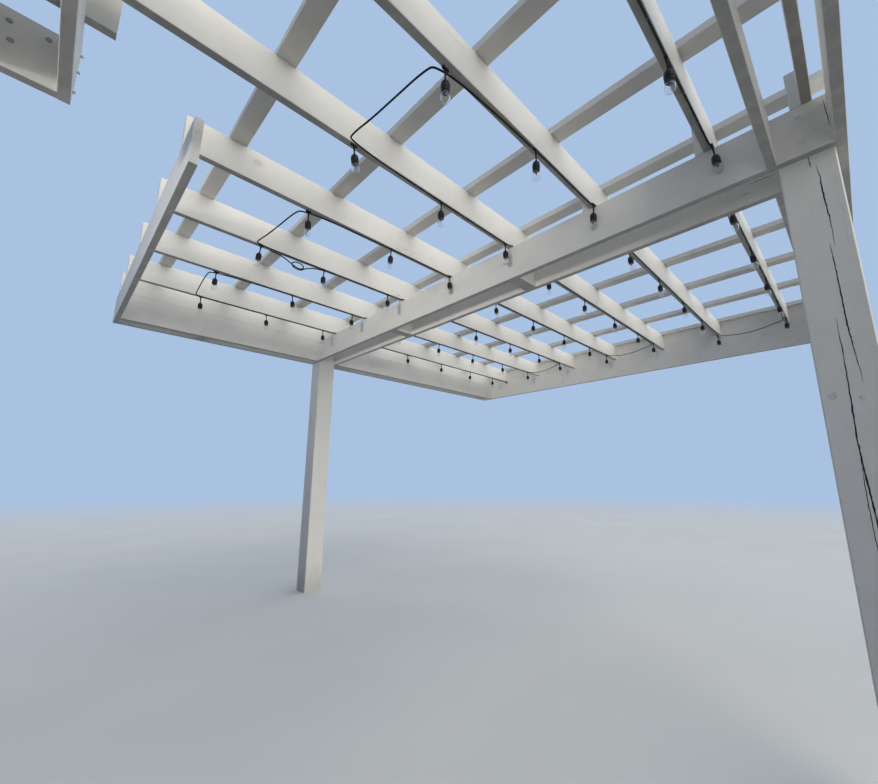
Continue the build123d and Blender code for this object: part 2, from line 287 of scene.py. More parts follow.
# How far the grain wanders, in metres, along it first
GRAIN_WANDER = (0.0, 0.05, 0.05)

# Where a knot's dark rim lies and how close its rings are, in the knots' own pattern
KNOT_RIM = 0.074
KNOT_RINGS = 330.0

# How often the bare fibres in a split repeat in a metre along X, Y and Z
FIBRE_REPEAT = (300.0, 300.0, 12.0)

# Where each mark fades in or out, as values of its pattern
THIN_EDGE = (0.52, 0.72)
THIN_PATCH_EDGE = (0.42, 0.68)
BLOTCH_EDGE = (0.35, 0.75)
STREAK_EDGE = (0.35, 0.65)
BRUSH_EDGE = (0.3, 0.7)
KEPT_KNOTS_EDGE = (0.40, 0.42)
KNOT_EDGE = (0.085, 0.055)
BLEED_EDGE = (0.20, 0.04)
RIM_EDGE = (0.010, 0.0)
CHECK_EDGE = (0.0045, 0.0015)
CHECK_PATCH_EDGE = (0.64, 0.74)
UPWARD_EDGE = (0.5, 0.95)
DOWNWARD_EDGE = (-0.6, -0.9)
DUST_EDGE = (0.35, 0.70)
# Painted shade on the undersides, in blotches
UNDERSIDE_SHADE_EDGE = (0.25, 0.60)

# The post's knots: how their outline wobbles, and the edges of smudge and curl as shares of the reach
KNOT_WOBBLE = 1.3
SMUDGE_EDGE = (1.70, 0.70)
CURL_MIDDLE = 1.15
CURL_WIDTH = 0.28

# How strongly each mark tints the paint
THIN_TINT = 0.55
BLOTCH_TINT = 0.22
STREAK_TINT = 0.10
BLEED_TINT = 0.16
KNOT_TINT = 0.22
RIM_TINT = 0.25
CHECK_TINT = 0.55
DUST_TINTS = (0.10, 0.28)
# Painted shade on the undersides
UNDERSIDE_SHADE_TINTS = (0.70, 1.0)
SPLASH_TINT = 0.45
SMUDGE_TINT = 0.55
CURL_TINT = 0.65

# Dirt splashed up from the ground: where it ends and is at its strongest, and how ragged it is
SPLASH_HEIGHTS = (0.50, 0.12)
SPLASH_RAGGED = 0.30

# How high each mark stands, as a share of the paint's relief, which is in metres
GRAIN_RELIEF = 0.55
SAW_RELIEF = 0.18
BRUSH_RELIEF = 0.20
RING_RELIEF = 0.35
CHECK_RELIEF = 1.6
PAINT_RELIEF = 0.0012

# Roughness of brushed paint, and how much rougher it is where it has thinned
BRUSH_ROUGHNESS = (0.42, 0.62)
THIN_ROUGHNESS = 0.2

# Mottled finishes: two colours, scale, where they meet, span of roughness, metallic and specular
SHEATH_COLOURS = ((0.008, 0.008, 0.009), (0.030, 0.029, 0.028))
RUBBER_COLOURS = ((0.007, 0.007, 0.009), (0.024, 0.024, 0.025))
MOTTLED_FINISHES = {
    "painted_steel": ((0.74, 0.73, 0.71), (0.42, 0.33, 0.25), 55.0, (0.55, 0.78), (0.35, 0.60), 0.0, 0.5),
    "zinc_steel": ((0.42, 0.42, 0.41), (0.30, 0.19, 0.12), 90.0, (0.45, 0.75), (0.35, 0.65), 0.7, 0.5),
    "dull_steel": ((0.38, 0.40, 0.44), (0.27, 0.26, 0.25), 90.0, (0.45, 0.75), (0.55, 0.75), 0.1, 0.5),
    "cable_sheath": (*SHEATH_COLOURS, 40.0, (0.50, 0.85), (0.45, 0.68), 0.0, 0.3),
    "holder_rubber": (*RUBBER_COLOURS, 70.0, (0.50, 0.85), (0.40, 0.60), 0.0, 0.3),
    "lamp_brass": ((0.62, 0.47, 0.24), (0.38, 0.28, 0.15), 120.0, (0.40, 0.75), (0.25, 0.45), 1.0, 0.5),
}

# The bulbs' glass, clean and under dust
CLEAN_GLASS = (0.97, 0.98, 0.98)
DUSTY_GLASS = (0.88, 0.88, 0.86)

# Tints of the sky in front of the frame and behind it, as shares of its strength, and where they meet
FRONT_SKY = (0.08, 0.14, 0.26)
BACK_SKY = (0.75, 0.87, 1.0)
SKY_EDGE = (-0.7, 0.1)

# The floor, and the light that it throws back, which is stronger to the right of the frame
FLOOR_RADIUS = 60.0
FLOOR_FADE = (9.0, 34.0)
FLOOR_MOTTLING = 0.96
SHADED_BOUNCE = (0.24, 0.235, 0.225)
BRIGHT_BOUNCE = (0.75, 0.71, 0.62)
BOUNCE_EDGE = (0.5, 4.5)

# The lamps: colour and the side that each comes from
KEY_LIGHT = ((1.0, 0.92, 0.79), (0.95, 0.0, 0.26))
BACK_LIGHT = ((1.0, 0.93, 0.82), (0.10, 0.95, 0.16))
SOFT_ANGLE = math.radians(80.0)
FILL_COLOUR = (1.0, 0.95, 0.87)
FILL_SIZE = (2.0, 1.2)
FILL_SPREAD = math.radians(26.0)
FILL_PLACE = Vector((0.5, -9.0, 0.9))
FILL_AIM = Vector((-2.6, MAIN_FRONT_Y, 2.5))

# The camera, just in front of the near post
CAMERA_PLACE = (-0.003, -2.2686, 1.180)
CAMERA_YAW = math.radians(45.43)
CAMERA_PITCH = math.radians(11.60)
CAMERA_ROLL = math.radians(0.158)
CAMERA_SHIFT = (-0.0109, 0.0052)
FOCAL_PIXELS = 406.8
IMAGE_WIDTH = 878.0
SENSOR_WIDTH = 36.0


# Settings that a user would change

class PERGOLA_PG_paint(bpy.types.PropertyGroup):
    """Colours and wear of the painted timber."""

    paint: bpy.props.FloatVectorProperty(
        name="Paint", description="Colour of the sound paint", subtype="COLOR",
        size=3, min=0.0, max=1.0, default=(0.81, 0.795, 0.765),
    )
    weathered: bpy.props.FloatVectorProperty(
        name="Weathered Paint", description="Colour of the paint where it has thinned along the grain",
        subtype="COLOR", size=3, min=0.0, max=1.0, default=(0.64, 0.61, 0.555),
    )
    stain: bpy.props.FloatVectorProperty(
        name="Knot Stain", description="Colour that knots bleed into the paint", subtype="COLOR",
        size=3, min=0.0, max=1.0, default=(0.50, 0.40, 0.27),
    )
    grime: bpy.props.FloatVectorProperty(
        name="Grime", description="Colour of the dust and dirt on the boards", subtype="COLOR",
        size=3, min=0.0, max=1.0, default=(0.30, 0.28, 0.24),
    )
    # Painted shade: the colour to which faces that look down are darkened, in place of the shade under the
    # boards
    underside_shade: bpy.props.FloatVectorProperty(
        name="Underside Shade", description="Colour of the undersides, which never dry well", subtype="COLOR",
        size=3, min=0.0, max=1.0, default=(0.34, 0.335, 0.33),
    )
    split_wood: bpy.props.FloatVectorProperty(
        name="Split Wood", description="Colour of the bare wood inside a split", subtype="COLOR",
        size=3, min=0.0, max=1.0, default=(0.045, 0.036, 0.028),
    )


class PERGOLA_PG_fixings(bpy.types.PropertyGroup):
    """Sizes of the bolts and screws."""

    washer: bpy.props.FloatProperty(
        name="Washer", description="Diameter of the washers", subtype="DISTANCE", unit="LENGTH",
        min=0.01, default=0.034,
    )
    bolt_head: bpy.props.FloatProperty(
        name="Bolt Head", description="Diameter of the domed bolt heads", subtype="DISTANCE",
        unit="LENGTH", min=0.005, default=0.030,
    )
    bearer_bolt: bpy.props.FloatProperty(
        name="Bearer Bolt", description="Diameter of the bare bolt heads in the masonry bearer",
        subtype="DISTANCE", unit="LENGTH", min=0.005, default=0.019,
    )
    screw_head: bpy.props.FloatProperty(
        name="Screw Head", description="Diameter of the screw heads in the slats", subtype="DISTANCE",
        unit="LENGTH", min=0.003, default=0.009,
    )
    ledger_bolt_pitch: bpy.props.FloatProperty(
        name="Ledger Bolt Pitch", description="Distance between bolts along the ledgers",
        subtype="DISTANCE", unit="LENGTH", min=0.2, default=0.610,
    )


class PERGOLA_PG_lights(bpy.types.PropertyGroup):
    """Sizes of the string lights' details."""

    sides: bpy.props.IntProperty(
        name="Cable Sides", description="Flats round the cable", min=6, max=16, default=8,
    )
    spacing: bpy.props.FloatProperty(
        name="Cable Step", description="Distance between rings along the cable", subtype="DISTANCE",
        unit="LENGTH", min=0.004, default=0.010,
    )
    sag: bpy.props.FloatProperty(
        name="Cable Sag", description="How far the cable drops between its staples",
        subtype="DISTANCE", unit="LENGTH", min=0.0, default=0.0022,
    )
    tilt: bpy.props.FloatProperty(
        name="Lamp Tilt", description="How far lamps hang out of plumb", subtype="ANGLE",
        unit="ROTATION", min=0.0, default=math.radians(6.0),
    )
    seed: bpy.props.IntProperty(name="Seed", description="Seed of the lamps' tilts", default=7)


class PERGOLA_PG_stage(bpy.types.PropertyGroup):
    """Light and background of the stage."""

    floor: bpy.props.FloatVectorProperty(
        name="Floor", description="Colour of the floor", subtype="COLOR",
        size=3, min=0.0, max=1.0, default=(0.68, 0.68, 0.67),
    )
    backdrop: bpy.props.FloatVectorProperty(
        name="Backdrop", description="Colour of the background", subtype="COLOR",
        size=3, min=0.0, max=1.0, default=(0.40, 0.54, 0.76),
    )
    sky_strength: bpy.props.FloatProperty(
        name="Sky Strength", description="Light from all round", min=0.0, default=0.74,
    )
    key_strength: bpy.props.FloatProperty(
        name="Key Strength", description="Strength of the soft key light", min=0.0, default=2.4,
    )
    back_strength: bpy.props.FloatProperty(
        name="Back Strength", description="Strength of the soft light from the back", min=0.0, default=0.8,
    )
    fill_power: bpy.props.FloatProperty(
        name="Fill Power", description="Power of the lamp that fills the main beam's front face",
        subtype="POWER", unit="POWER", min=0.0, default=9.0,
    )


SETTINGS = {
    "pergola_paint": PERGOLA_PG_paint,
    "pergola_fixings": PERGOLA_PG_fixings,
    "pergola_lights": PERGOLA_PG_lights,
    "pergola_stage": PERGOLA_PG_stage,
}


# Small helpers for node trees

def node(tree, kind, settings=None, **inputs):
    """Adds a node, sets its settings and its inputs; an input given as a socket is linked.

    An input goes by its name, with _ for each space, or by its number after a _.
    """
    made = tree.nodes.new(kind)
    for key, value in (settings or {}).items():
        setattr(made, key, value)
    for key, value in inputs.items():
        socket = made.inputs[int(key[1:])] if key[0] == "_" else made.inputs[key.replace("_", " ")]
        if isinstance(value, bpy.types.NodeSocket):
            tree.links.new(value, socket)
        else:
            socket.default_value = value
    return made


def maths(tree, operation, a, b=0.0, clamp=False):
    """One Math node and its result."""
    return node(tree, "ShaderNodeMath", {"operation": operation, "use_clamp": clamp}, _0=a, _1=b).outputs[0]


def plus(tree, a, b, clamp=False):
    """The sum of two values."""
    return maths(tree, "ADD", a, b, clamp)


def minus(tree, a, b):
    """The difference of two values."""
    return maths(tree, "SUBTRACT", a, b)


def times(tree, a, b):
    """The product of two values."""
    return maths(tree, "MULTIPLY", a, b)


def off_by(tree, value, middle):
    """How far a value lies from a middle, either way."""
    return maths(tree, "ABSOLUTE", minus(tree, value, middle))


def ramp(tree, value, low, high, to_low=0.0, to_high=1.0):
    """A smooth step of a value from one range to another."""
    made = node(
        tree, "ShaderNodeMapRange", {"interpolation_type": "SMOOTHSTEP", "clamp": True},
        Value=value, From_Min=low, From_Max=high, To_Min=to_low, To_Max=to_high,
    )
    return made.outputs["Result"]


def blend(tree, share, first, second):
    """A mix of two colours."""
    made = node(tree, "ShaderNodeMix", {"data_type": "RGBA"}, _0=share, _6=first, _7=second)
    return made.outputs[2]


def noise(tree, vector, scale, detail=2.0, roughness=0.5):
    """A noise pattern's value."""
    made = node(
        tree, "ShaderNodeTexNoise", None,
        Vector=vector, Scale=scale, Detail=detail, Roughness=roughness,
    )
    return made.outputs["Fac"]


def stretched(tree, vector, scale):
    """A vector scaled by different amounts along each axis."""
    made = node(tree, "ShaderNodeVectorMath", {"operation": "MULTIPLY"}, _0=vector, _1=scale)
    return made.outputs[0]


def axis_of(tree, vector, axis):
    """A vector's part along one axis."""
    return node(tree, "ShaderNodeSeparateXYZ", None, Vector=vector).outputs[axis]


def object_place(tree):
    """Where a point of the surface is on its object."""
    return node(tree, "ShaderNodeTexCoord").outputs["Object"]


def open_tree(name, kind, inputs, outputs):
    """A node group with its inputs and outputs, each given by a name and the kind of socket."""
    tree = bpy.data.node_groups.new(name, kind)
    for way, sockets in (("INPUT", inputs), ("OUTPUT", outputs)):
        for label, socket in sockets:
            tree.interface.new_socket(name=label, in_out=way, socket_type=f"NodeSocket{socket}")
    return tree, tree.nodes.new("NodeGroupInput"), tree.nodes.new("NodeGroupOutput")


def new_material(name):
    """A node material with its output and shader; gives back its tree and the shader."""
    material = bpy.data.materials.new(name)
    material.use_nodes = True
    tree = material.node_tree
    tree.nodes.clear()
    shader = tree.nodes.new("ShaderNodeBsdfPrincipled")
    output = tree.nodes.new("ShaderNodeOutputMaterial")
    tree.links.new(shader.outputs[0], output.inputs["Surface"])
    return tree, shader


def colour(values):
    """A colour property with full alpha."""
    return (*values, 1.0)


# Materials

def timber_marks(tree, vector, place, wear):
    """Masks of the marks on painted sawn timber, with the grain along the vector's X axis."""
    wander = node(tree, "ShaderNodeTexNoise", None, Vector=vector, Scale=1.3, Detail=2.0).outputs["Color"]
    shift = stretched(tree, wander, GRAIN_WANDER)
    bent = node(tree, "ShaderNodeVectorMath", {"operation": "ADD"}, _0=vector, _1=shift).outputs[0]
    marks = {
        "grain": noise(tree, stretched(tree, bent, GRAIN_REPEAT), 1.0, 5.0, 0.62),
        "saw": noise(tree, stretched(tree, bent, SAW_REPEAT), 1.0, 3.0, 0.6),
        "brush": noise(tree, stretched(tree, bent, BRUSH_REPEAT), 1.0, 2.0, 0.5),
        "blotch": noise(tree, place, 9.0, 4.0, 0.65),
    }
    patch = noise(tree, place, 2.1, 4.0, 0.6)
    worn = times(tree, ramp(tree, marks["grain"], *THIN_EDGE), ramp(tree, patch, *THIN_PATCH_EDGE))
    marks["thin"] = times(tree, worn, wear)

    cell_place = stretched(tree, bent, KNOT_REPEAT)
    cells = node(tree, "ShaderNodeTexVoronoi", {"feature": "F1"}, Vector=cell_place, Scale=1.0)
    lot = node(tree, "ShaderNodeSeparateColor", None, Color=cells.outputs["Color"]).outputs[0]
    kept = ramp(tree, lot, *KEPT_KNOTS_EDGE)
    reach = cells.outputs["Distance"]
    marks["knot"] = times(tree, ramp(tree, reach, *KNOT_EDGE), kept)
    marks["bleed"] = times(tree, ramp(tree, reach, *BLEED_EDGE), kept)
    marks["rim"] = times(tree, ramp(tree, off_by(tree, reach, KNOT_RIM), *RIM_EDGE), kept)
    marks["rings"] = times(tree, maths(tree, "SINE", times(tree, reach, KNOT_RINGS)), marks["knot"])

    lines = noise(tree, stretched(tree, bent, CHECK_REPEAT), 1.0, 3.0, 0.55)
    patches = noise(tree, stretched(tree, vector, CHECK_PATCH_REPEAT), 1.0, 1.0)
    thin_line = ramp(tree, off_by(tree, lines, 0.5), *CHECK_EDGE)
    marks["check"] = times(tree, thin_line, ramp(tree, patches, *CHECK_PATCH_EDGE))
    return marks


def timber_tint(tree, marks, place, underside_shade, paint):
    """The paint's colour, with its thin and stained places, the dirt on it, and painted shade on the faces
    that look down.
    """
    weathered = colour(paint.weathered)
    stain = colour(paint.stain)
    grime = colour(paint.grime)
    blotch = marks["blotch"]
    tint = blend(tree, times(tree, marks["thin"], THIN_TINT), colour(paint.paint), weathered)
    tint = blend(tree, ramp(tree, blotch, *BLOTCH_EDGE, 0.0, BLOTCH_TINT), tint, weathered)
    tint = blend(tree, ramp(tree, marks["grain"], *STREAK_EDGE, STREAK_TINT, 0.0), tint, weathered)
    tint = blend(tree, times(tree, marks["bleed"], BLEED_TINT), tint, stain)
    tint = blend(tree, times(tree, marks["knot"], KNOT_TINT), tint, stain)
    tint = blend(tree, times(tree, marks["rim"], RIM_TINT), tint, grime)

    up = axis_of(tree, node(tree, "ShaderNodeNewGeometry").outputs["Normal"], "Z")
    dust = times(tree, ramp(tree, up, *UPWARD_EDGE), ramp(tree, blotch, *DUST_EDGE, *DUST_TINTS))
    tint = blend(tree, dust, tint, grime)
    # Painted shade: faces that look down go towards the underside colour in blotches, in place of the shade
    # under the boards
    shaded_underside = times(tree, ramp(tree, up, *DOWNWARD_EDGE), ramp(tree, blotch, *UNDERSIDE_SHADE_EDGE, *UNDERSIDE_SHADE_TINTS))
    tint = blend(tree, times(tree, shaded_underside, underside_shade), tint, colour(paint.underside_shade))
    height = plus(tree, axis_of(tree, place, "Z"), times(tree, blotch, SPLASH_RAGGED))
    tint = blend(tree, ramp(tree, height, *SPLASH_HEIGHTS, 0.0, SPLASH_TINT), tint, grime)
    return blend(tree, times(tree, marks["check"], CHECK_TINT), tint, colour(paint.split_wood))


def timber_relief(tree, marks):
    """The height of the grain and of the saw's, brush's and knots' marks, with the checks sunk in."""
    relief = times(tree, marks["grain"], GRAIN_RELIEF)
    for mark, share in (("saw", SAW_RELIEF), ("brush", BRUSH_RELIEF), ("rings", RING_RELIEF)):
        relief = plus(tree, relief, times(tree, marks[mark], share))
    return minus(tree, relief, times(tree, marks["check"], CHECK_RELIEF))


def timber_pattern(paint):
    """The pattern of painted sawn timber that all the boards share."""
    tree, entry, result = open_tree(
        "painted_timber_pattern", "ShaderNodeTree",
        # The last input says how much painted shade darkens the faces that look down
        (("Vector", "Vector"), ("Place", "Vector"), ("Wear", "Float"), ("Underside Shade", "Float")),
        (("Color", "Color"), ("Roughness", "Float"), ("Height", "Float")),
    )
    given = entry.outputs
    marks = timber_marks(tree, given["Vector"], given["Place"], given["Wear"])
    brushed = ramp(tree, marks["brush"], *BRUSH_EDGE, *BRUSH_ROUGHNESS)
    rough = plus(tree, brushed, times(tree, marks["thin"], THIN_ROUGHNESS), True)
    tint = timber_tint(tree, marks, given["Place"], given["Underside Shade"], paint)
    tree.links.new(tint, result.inputs["Color"])
    tree.links.new(rough, result.inputs["Roughness"])
    tree.links.new(timber_relief(tree, marks), result.inputs["Height"])
    return tree


def knot_marks(tree, place, paint, base):
    """The knots that have bled through on the right post's face, as smudges with dark curls."""
    wobble = noise(tree, place, 48.0, 4.0, 0.65)
    gaps = ramp(tree, noise(tree, place, 85.0, 3.0, 0.6), 0.42, 0.60)
    for x, z, reach in POST_KNOTS:
        centre = (x, RIGHT_POST[0].y, z)
        away = node(tree, "ShaderNodeVectorMath", {"operation": "DISTANCE"}, _0=place, _1=centre)
        away = plus(tree, away.outputs["Value"], times(tree, wobble, KNOT_WOBBLE * reach))
        smudge = ramp(tree, away, *(share * reach for share in SMUDGE_EDGE), 0.0, SMUDGE_TINT)
        curl = ramp(tree, off_by(tree, away, CURL_MIDDLE * reach), CURL_WIDTH * reach, 0.0)
        curl = times(tree, times(tree, curl, gaps), CURL_TINT)
        base = blend(tree, smudge, base, colour(paint.weathered))
        base = blend(tree, curl, base, colour(paint.grime))
    return base


def painted_timber(name, pattern, turn, seed, wear, underside_shade, paint):
    """White painted timber with its grain turned to run along the board."""
    tree, shader = new_material(name)
    place = object_place(tree)
    draw = random.Random(seed)
    offset = [draw.uniform(-PATTERN_SHIFT, PATTERN_SHIFT) for _ in range(3)]
    mapping = node(tree, "ShaderNodeMapping", None, Vector=place, Rotation=turn, Location=offset)
    made = node(tree, "ShaderNodeGroup", {"node_tree": pattern})
    tree.links.new(mapping.outputs[0], made.inputs["Vector"])
    tree.links.new(place, made.inputs["Place"])
    made.inputs["Wear"].default_value = wear
    # How much painted shade darkens the faces that look down
    made.inputs["Underside Shade"].default_value = underside_shade
    relief = made.outputs["Height"]
    bump = node(tree, "ShaderNodeBump", None, Height=relief, Strength=0.55, Distance=PAINT_RELIEF)
    tint = made.outputs["Color"]
    if name == "paint_right_post":
        tint = knot_marks(tree, place, paint, tint)
    tree.links.new(tint, shader.inputs["Base Color"])
    tree.links.new(made.outputs["Roughness"], shader.inputs["Roughness"])
    tree.links.new(bump.outputs[0], shader.inputs["Normal"])


def bare_split(paint):
    """Grey-brown bare wood inside a split."""
    tree, shader = new_material("split_wood")
    fibres = noise(tree, stretched(tree, object_place(tree), FIBRE_REPEAT), 1.0, 3.0)
    lighter = tuple(channel * SPLIT_LIGHTER for channel in paint.split_wood)
    tint = blend(tree, ramp(tree, fibres, 0.35, 0.7), colour(paint.split_wood), colour(lighter))
    tree.links.new(tint, shader.inputs["Base Color"])
    shader.inputs["Roughness"].default_value = 0.9


def mottled(name, base, second, scale, meeting, rough, metallic, specular):
    """A finish of two mottled colours with a matching roughness and a fine bump."""
    tree, shader = new_material(name)
    place = object_place(tree)
    cloud = noise(tree, place, scale, 5.0, 0.65)
    fine = noise(tree, place, scale * 6.0, 3.0, 0.6)
    tint = blend(tree, ramp(tree, cloud, *meeting), colour(base), colour(second))
    tree.links.new(tint, shader.inputs["Base Color"])
    tree.links.new(ramp(tree, fine, 0.3, 0.7, *rough), shader.inputs["Roughness"])
    bump = node(tree, "ShaderNodeBump", None, Height=fine, Strength=0.4, Distance=0.0004)
    tree.links.new(bump.outputs[0], shader.inputs["Normal"])
    shader.inputs["Metallic"].default_value = metallic
    shader.inputs["Specular IOR Level"].default_value = specular


def clear_glass():
    """Thin clear glass with a little dust on it."""
    tree, shader = new_material("clear_glass")
    dust = noise(tree, object_place(tree), 60.0, 4.0, 0.6)
    tree.links.new(ramp(tree, dust, 0.45, 0.8, 0.01, 0.10), shader.inputs["Roughness"])
    tint = blend(tree, ramp(tree, dust, 0.5, 0.9), colour(CLEAN_GLASS), colour(DUSTY_GLASS))
    tree.links.new(tint, shader.inputs["Base Color"])
    shader.inputs["Transmission Weight"].default_value = 1.0
    shader.inputs["IOR"].default_value = 1.5


def build_finishes(scene):
    """Makes every material once, by name."""
    paint = scene.pergola_paint
    pattern = timber_pattern(paint)
    turns = {
        "x": (0.0, 0.0, 0.0),
        "y": (0.0, 0.0, math.radians(-90.0)),
        "z": (0.0, math.radians(90.0), 0.0),
    }
    for number, name in enumerate(sorted(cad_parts)):
        if name in NOT_TIMBER:
            continue
        axis = "x" if name in GRAIN_X else "z" if name in GRAIN_Z else "y"
        wear = ALONG_X_WEAR if name in GRAIN_X else OTHER_WEAR
        # Painted shade under the boards: little on the slats, much on the other boards
        underside_shade = SLAT_UNDERSIDE_SHADE if name.endswith("slats") else OTHER_UNDERSIDE_SHADE
        painted_timber(f"paint_{name}", pattern, turns[axis], number, wear, underside_shade, paint)
    bare_split(paint)
    for name, look in MOTTLED_FINISHES.items():
        mottled(name, *look)
    clear_glass()


# Mesh helpers

def add_piece(name, mesh, finish, *slot_and_nodes):
    """Links a finished mesh as a piece that rides on the body."""
    piece = bpy.data.objects.new(name, mesh)
    bpy.context.scene.collection.objects.link(piece)
    if finish:
        mesh.materials.clear()
        mesh.materials.append(bpy.data.materials[finish])
    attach(piece, ROOT)
    if slot_and_nodes:
        if slot_and_nodes[1:]:
            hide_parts(*slot_and_nodes[1:])
    return piece


def finish_mesh(form, name, smooth=True):
    """Turns a bmesh into a mesh with its faces pointing outwards."""
    bmesh.ops.remove_doubles(form, verts=form.verts, dist=1e-7)
    bmesh.ops.recalc_face_normals(form, faces=form.faces)
    for face in form.faces:
        face.smooth = smooth
    mesh = bpy.data.meshes.new(name)
    form.to_mesh(mesh)
    form.free()
    return mesh


def welded_form(node_name):
    """A node's own mesh with its loose triangles joined at their corners."""
    form = bmesh.new()
    form.from_mesh(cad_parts[node_name].data)
    bmesh.ops.remove_doubles(form, verts=form.verts, dist=1e-6)
    return form


def bridge(form, lower, upper, sides):
    """Joins two rings of corners with faces, where either may be a single point."""
    for i in range(sides):
        corners = [lower[i % len(lower)], lower[(i + 1) % len(lower)]]
        corners += [upper[(i + 1) % len(upper)], upper[i % len(upper)]]
        form.faces.new(list(dict.fromkeys(corners)))


def lathe(form, profile, sides, closed=False):
    """Turns a profile of radius and height round the Z axis, with poles where the radius is nothing."""
    rings = []
    for radius, height in profile:
        if radius == 0.0:
            rings.append([form.verts.new((0.0, 0.0, height))])
            continue
        ring = []
        for i in range(sides):
            angle = 2 * math.pi * i / sides
            ring.append(form.verts.new((radius * math.cos(angle), radius * math.sin(angle), height)))
        rings.append(ring)
    pairs = list(zip(rings, rings[1:]))
    if closed:
        pairs.append((rings[-1], rings[0]))
    for lower, upper in pairs:
        bridge(form, lower, upper, sides)
    return rings


def tube(form, points, radius, sides):
    """A closed tube along a few points."""
    rings = []
    for i, point in enumerate(points):
        before = points[max(i - 1, 0)]
        after = points[min(i + 1, len(points) - 1)]
        heading = (Vector(after) - Vector(before)).to_track_quat("Z", "X")
        ring = []
        for k in range(sides):
            angle = 2 * math.pi * k / sides
            spoke = heading @ Vector((radius * math.cos(angle), radius * math.sin(angle), 0.0))
            ring.append(form.verts.new(Vector(point) + spoke))
        rings.append(ring)
    for lower, upper in zip(rings, rings[1:]):
        bridge(form, lower, upper, sides)
    form.faces.new(rings[0][::-1])
    form.faces.new(rings[-1])


def points_mesh(name, places):
    """A mesh of loose points, each with the way its item faces."""
    mesh = bpy.data.meshes.new(name)
    mesh.from_pydata([place for place, _ in places], [], [])
    facing = mesh.attributes.new("facing", "FLOAT_VECTOR", "POINT")
    for i, (_, way) in enumerate(places):
        facing.data[i].vector = way
    return mesh


# Geometry node trees

def close_tree(tree, entry, result, geometry):
    """Ends a tree in Realize Instances and Set Material."""
    real = node(tree, "GeometryNodeRealizeInstances", None, _0=geometry)
    coated = node(
        tree, "GeometryNodeSetMaterial", None,
        Geometry=real.outputs[0], Material=entry.outputs["Finish"],
    )
    tree.links.new(coated.outputs[0], result.inputs[0])


def items_tree():
    """Puts one item on each point, turned to face its way, with a random spin."""
    tree, entry, result = open_tree(
        "items_on_points", "GeometryNodeTree",
        (
            ("Geometry", "Geometry"), ("Item", "Object"), ("Spin", "Float"), ("Seed", "Int"),
            ("Finish", "Material"),
        ),
        (("Geometry", "Geometry"),),
    )
    chosen = entry.outputs["Item"]
    item = node(tree, "GeometryNodeObjectInfo", {"transform_space": "ORIGINAL"}, Object=chosen)
    facing = node(tree, "GeometryNodeInputNamedAttribute", {"data_type": "FLOAT_VECTOR"}, Name="facing")
    aligned = node(tree, "FunctionNodeAlignRotationToVector", {"axis": "Z"}, Vector=facing.outputs[0])
    most = node(tree, "ShaderNodeCombineXYZ", None, Z=entry.outputs["Spin"]).outputs[0]
    draw = node(
        tree, "FunctionNodeRandomValue", {"data_type": "FLOAT_VECTOR"},
        _0=(0, 0, 0), _1=most, Seed=entry.outputs["Seed"],
    )
    lean = node(tree, "FunctionNodeEulerToRotation", None, _0=draw.outputs[0])
    turned = node(
        tree, "FunctionNodeRotateRotation", {"rotation_space": "LOCAL"},
        Rotation=aligned.outputs[0], Rotate_By=lean.outputs[0],
    )
    placed = node(
        tree, "GeometryNodeInstanceOnPoints", None,
        Points=entry.outputs["Geometry"], Instance=item.outputs["Geometry"], Rotation=turned.outputs[0],
    )
    close_tree(tree, entry, result, placed.outputs[0])
    return tree


def cable_tree():
    """A round cable along a curve, which wanders a little between its staples where it runs low."""
    tree, entry, result = open_tree(
        "cable_on_curve", "GeometryNodeTree",
        (
            ("Geometry", "Geometry"), ("Radius", "Float"), ("Step", "Float"), ("Sides", "Int"),
            ("Sag", "Float"), ("Level", "Float"), ("Finish", "Material"),
        ),
        (("Geometry", "Geometry"),),
    )
    evened = node(
        tree, "GeometryNodeResampleCurve", {"mode": "LENGTH"},
        Curve=entry.outputs["Geometry"], Length=entry.outputs["Step"],
    )
    place = tree.nodes.new("GeometryNodeInputPosition").outputs[0]
    cloud = node(tree, "ShaderNodeTexNoise", None, Vector=place, Scale=3.3, Detail=2.0)
    parts = node(tree, "ShaderNodeSeparateXYZ", None, Vector=cloud.outputs["Color"])
    above = minus(tree, axis_of(tree, place, "Z"), entry.outputs["Level"])
    amount = times(tree, entry.outputs["Sag"], ramp(tree, above, *HELD_HEIGHTS, 1.0, 0.0))
    side = times(tree, minus(tree, parts.outputs["X"], 0.5), amount)
    drop = times(tree, times(tree, parts.outputs["Y"], -1.0), amount)
    offset = node(tree, "ShaderNodeCombineXYZ", None, X=times(tree, side, 2.0), Z=drop).outputs[0]
    moved = node(tree, "GeometryNodeSetPosition", None, Geometry=evened.outputs[0], Offset=offset)
    ring = node(
        tree, "GeometryNodeCurvePrimitiveCircle", {"mode": "RADIUS"},
        Resolution=entry.outputs["Sides"], Radius=entry.outputs["Radius"],
    )
    skin = node(
        tree, "GeometryNodeCurveToMesh", None,
        Curve=moved.outputs[0], Profile_Curve=ring.outputs[0], Fill_Caps=True,
    )
    smooth = node(tree, "GeometryNodeSetShadeSmooth", None, _0=skin.outputs[0])
    close_tree(tree, entry, result, smooth.outputs[0])
    return tree


def evaluated_mesh(carrier, name):
    """What an object's modifiers make of it, as a plain mesh; the object itself goes away."""
    carrier.update_tag()
    bpy.context.view_layer.update()
    graph = bpy.context.evaluated_depsgraph_get()
    mesh = bpy.data.meshes.new_from_object(carrier.evaluated_get(graph))
    mesh.name = name
    carrier.modifiers.clear()
    bpy.data.objects.remove(carrier)
    if not mesh.polygons:
        raise RuntimeError(f"{name} came out empty")
    return mesh


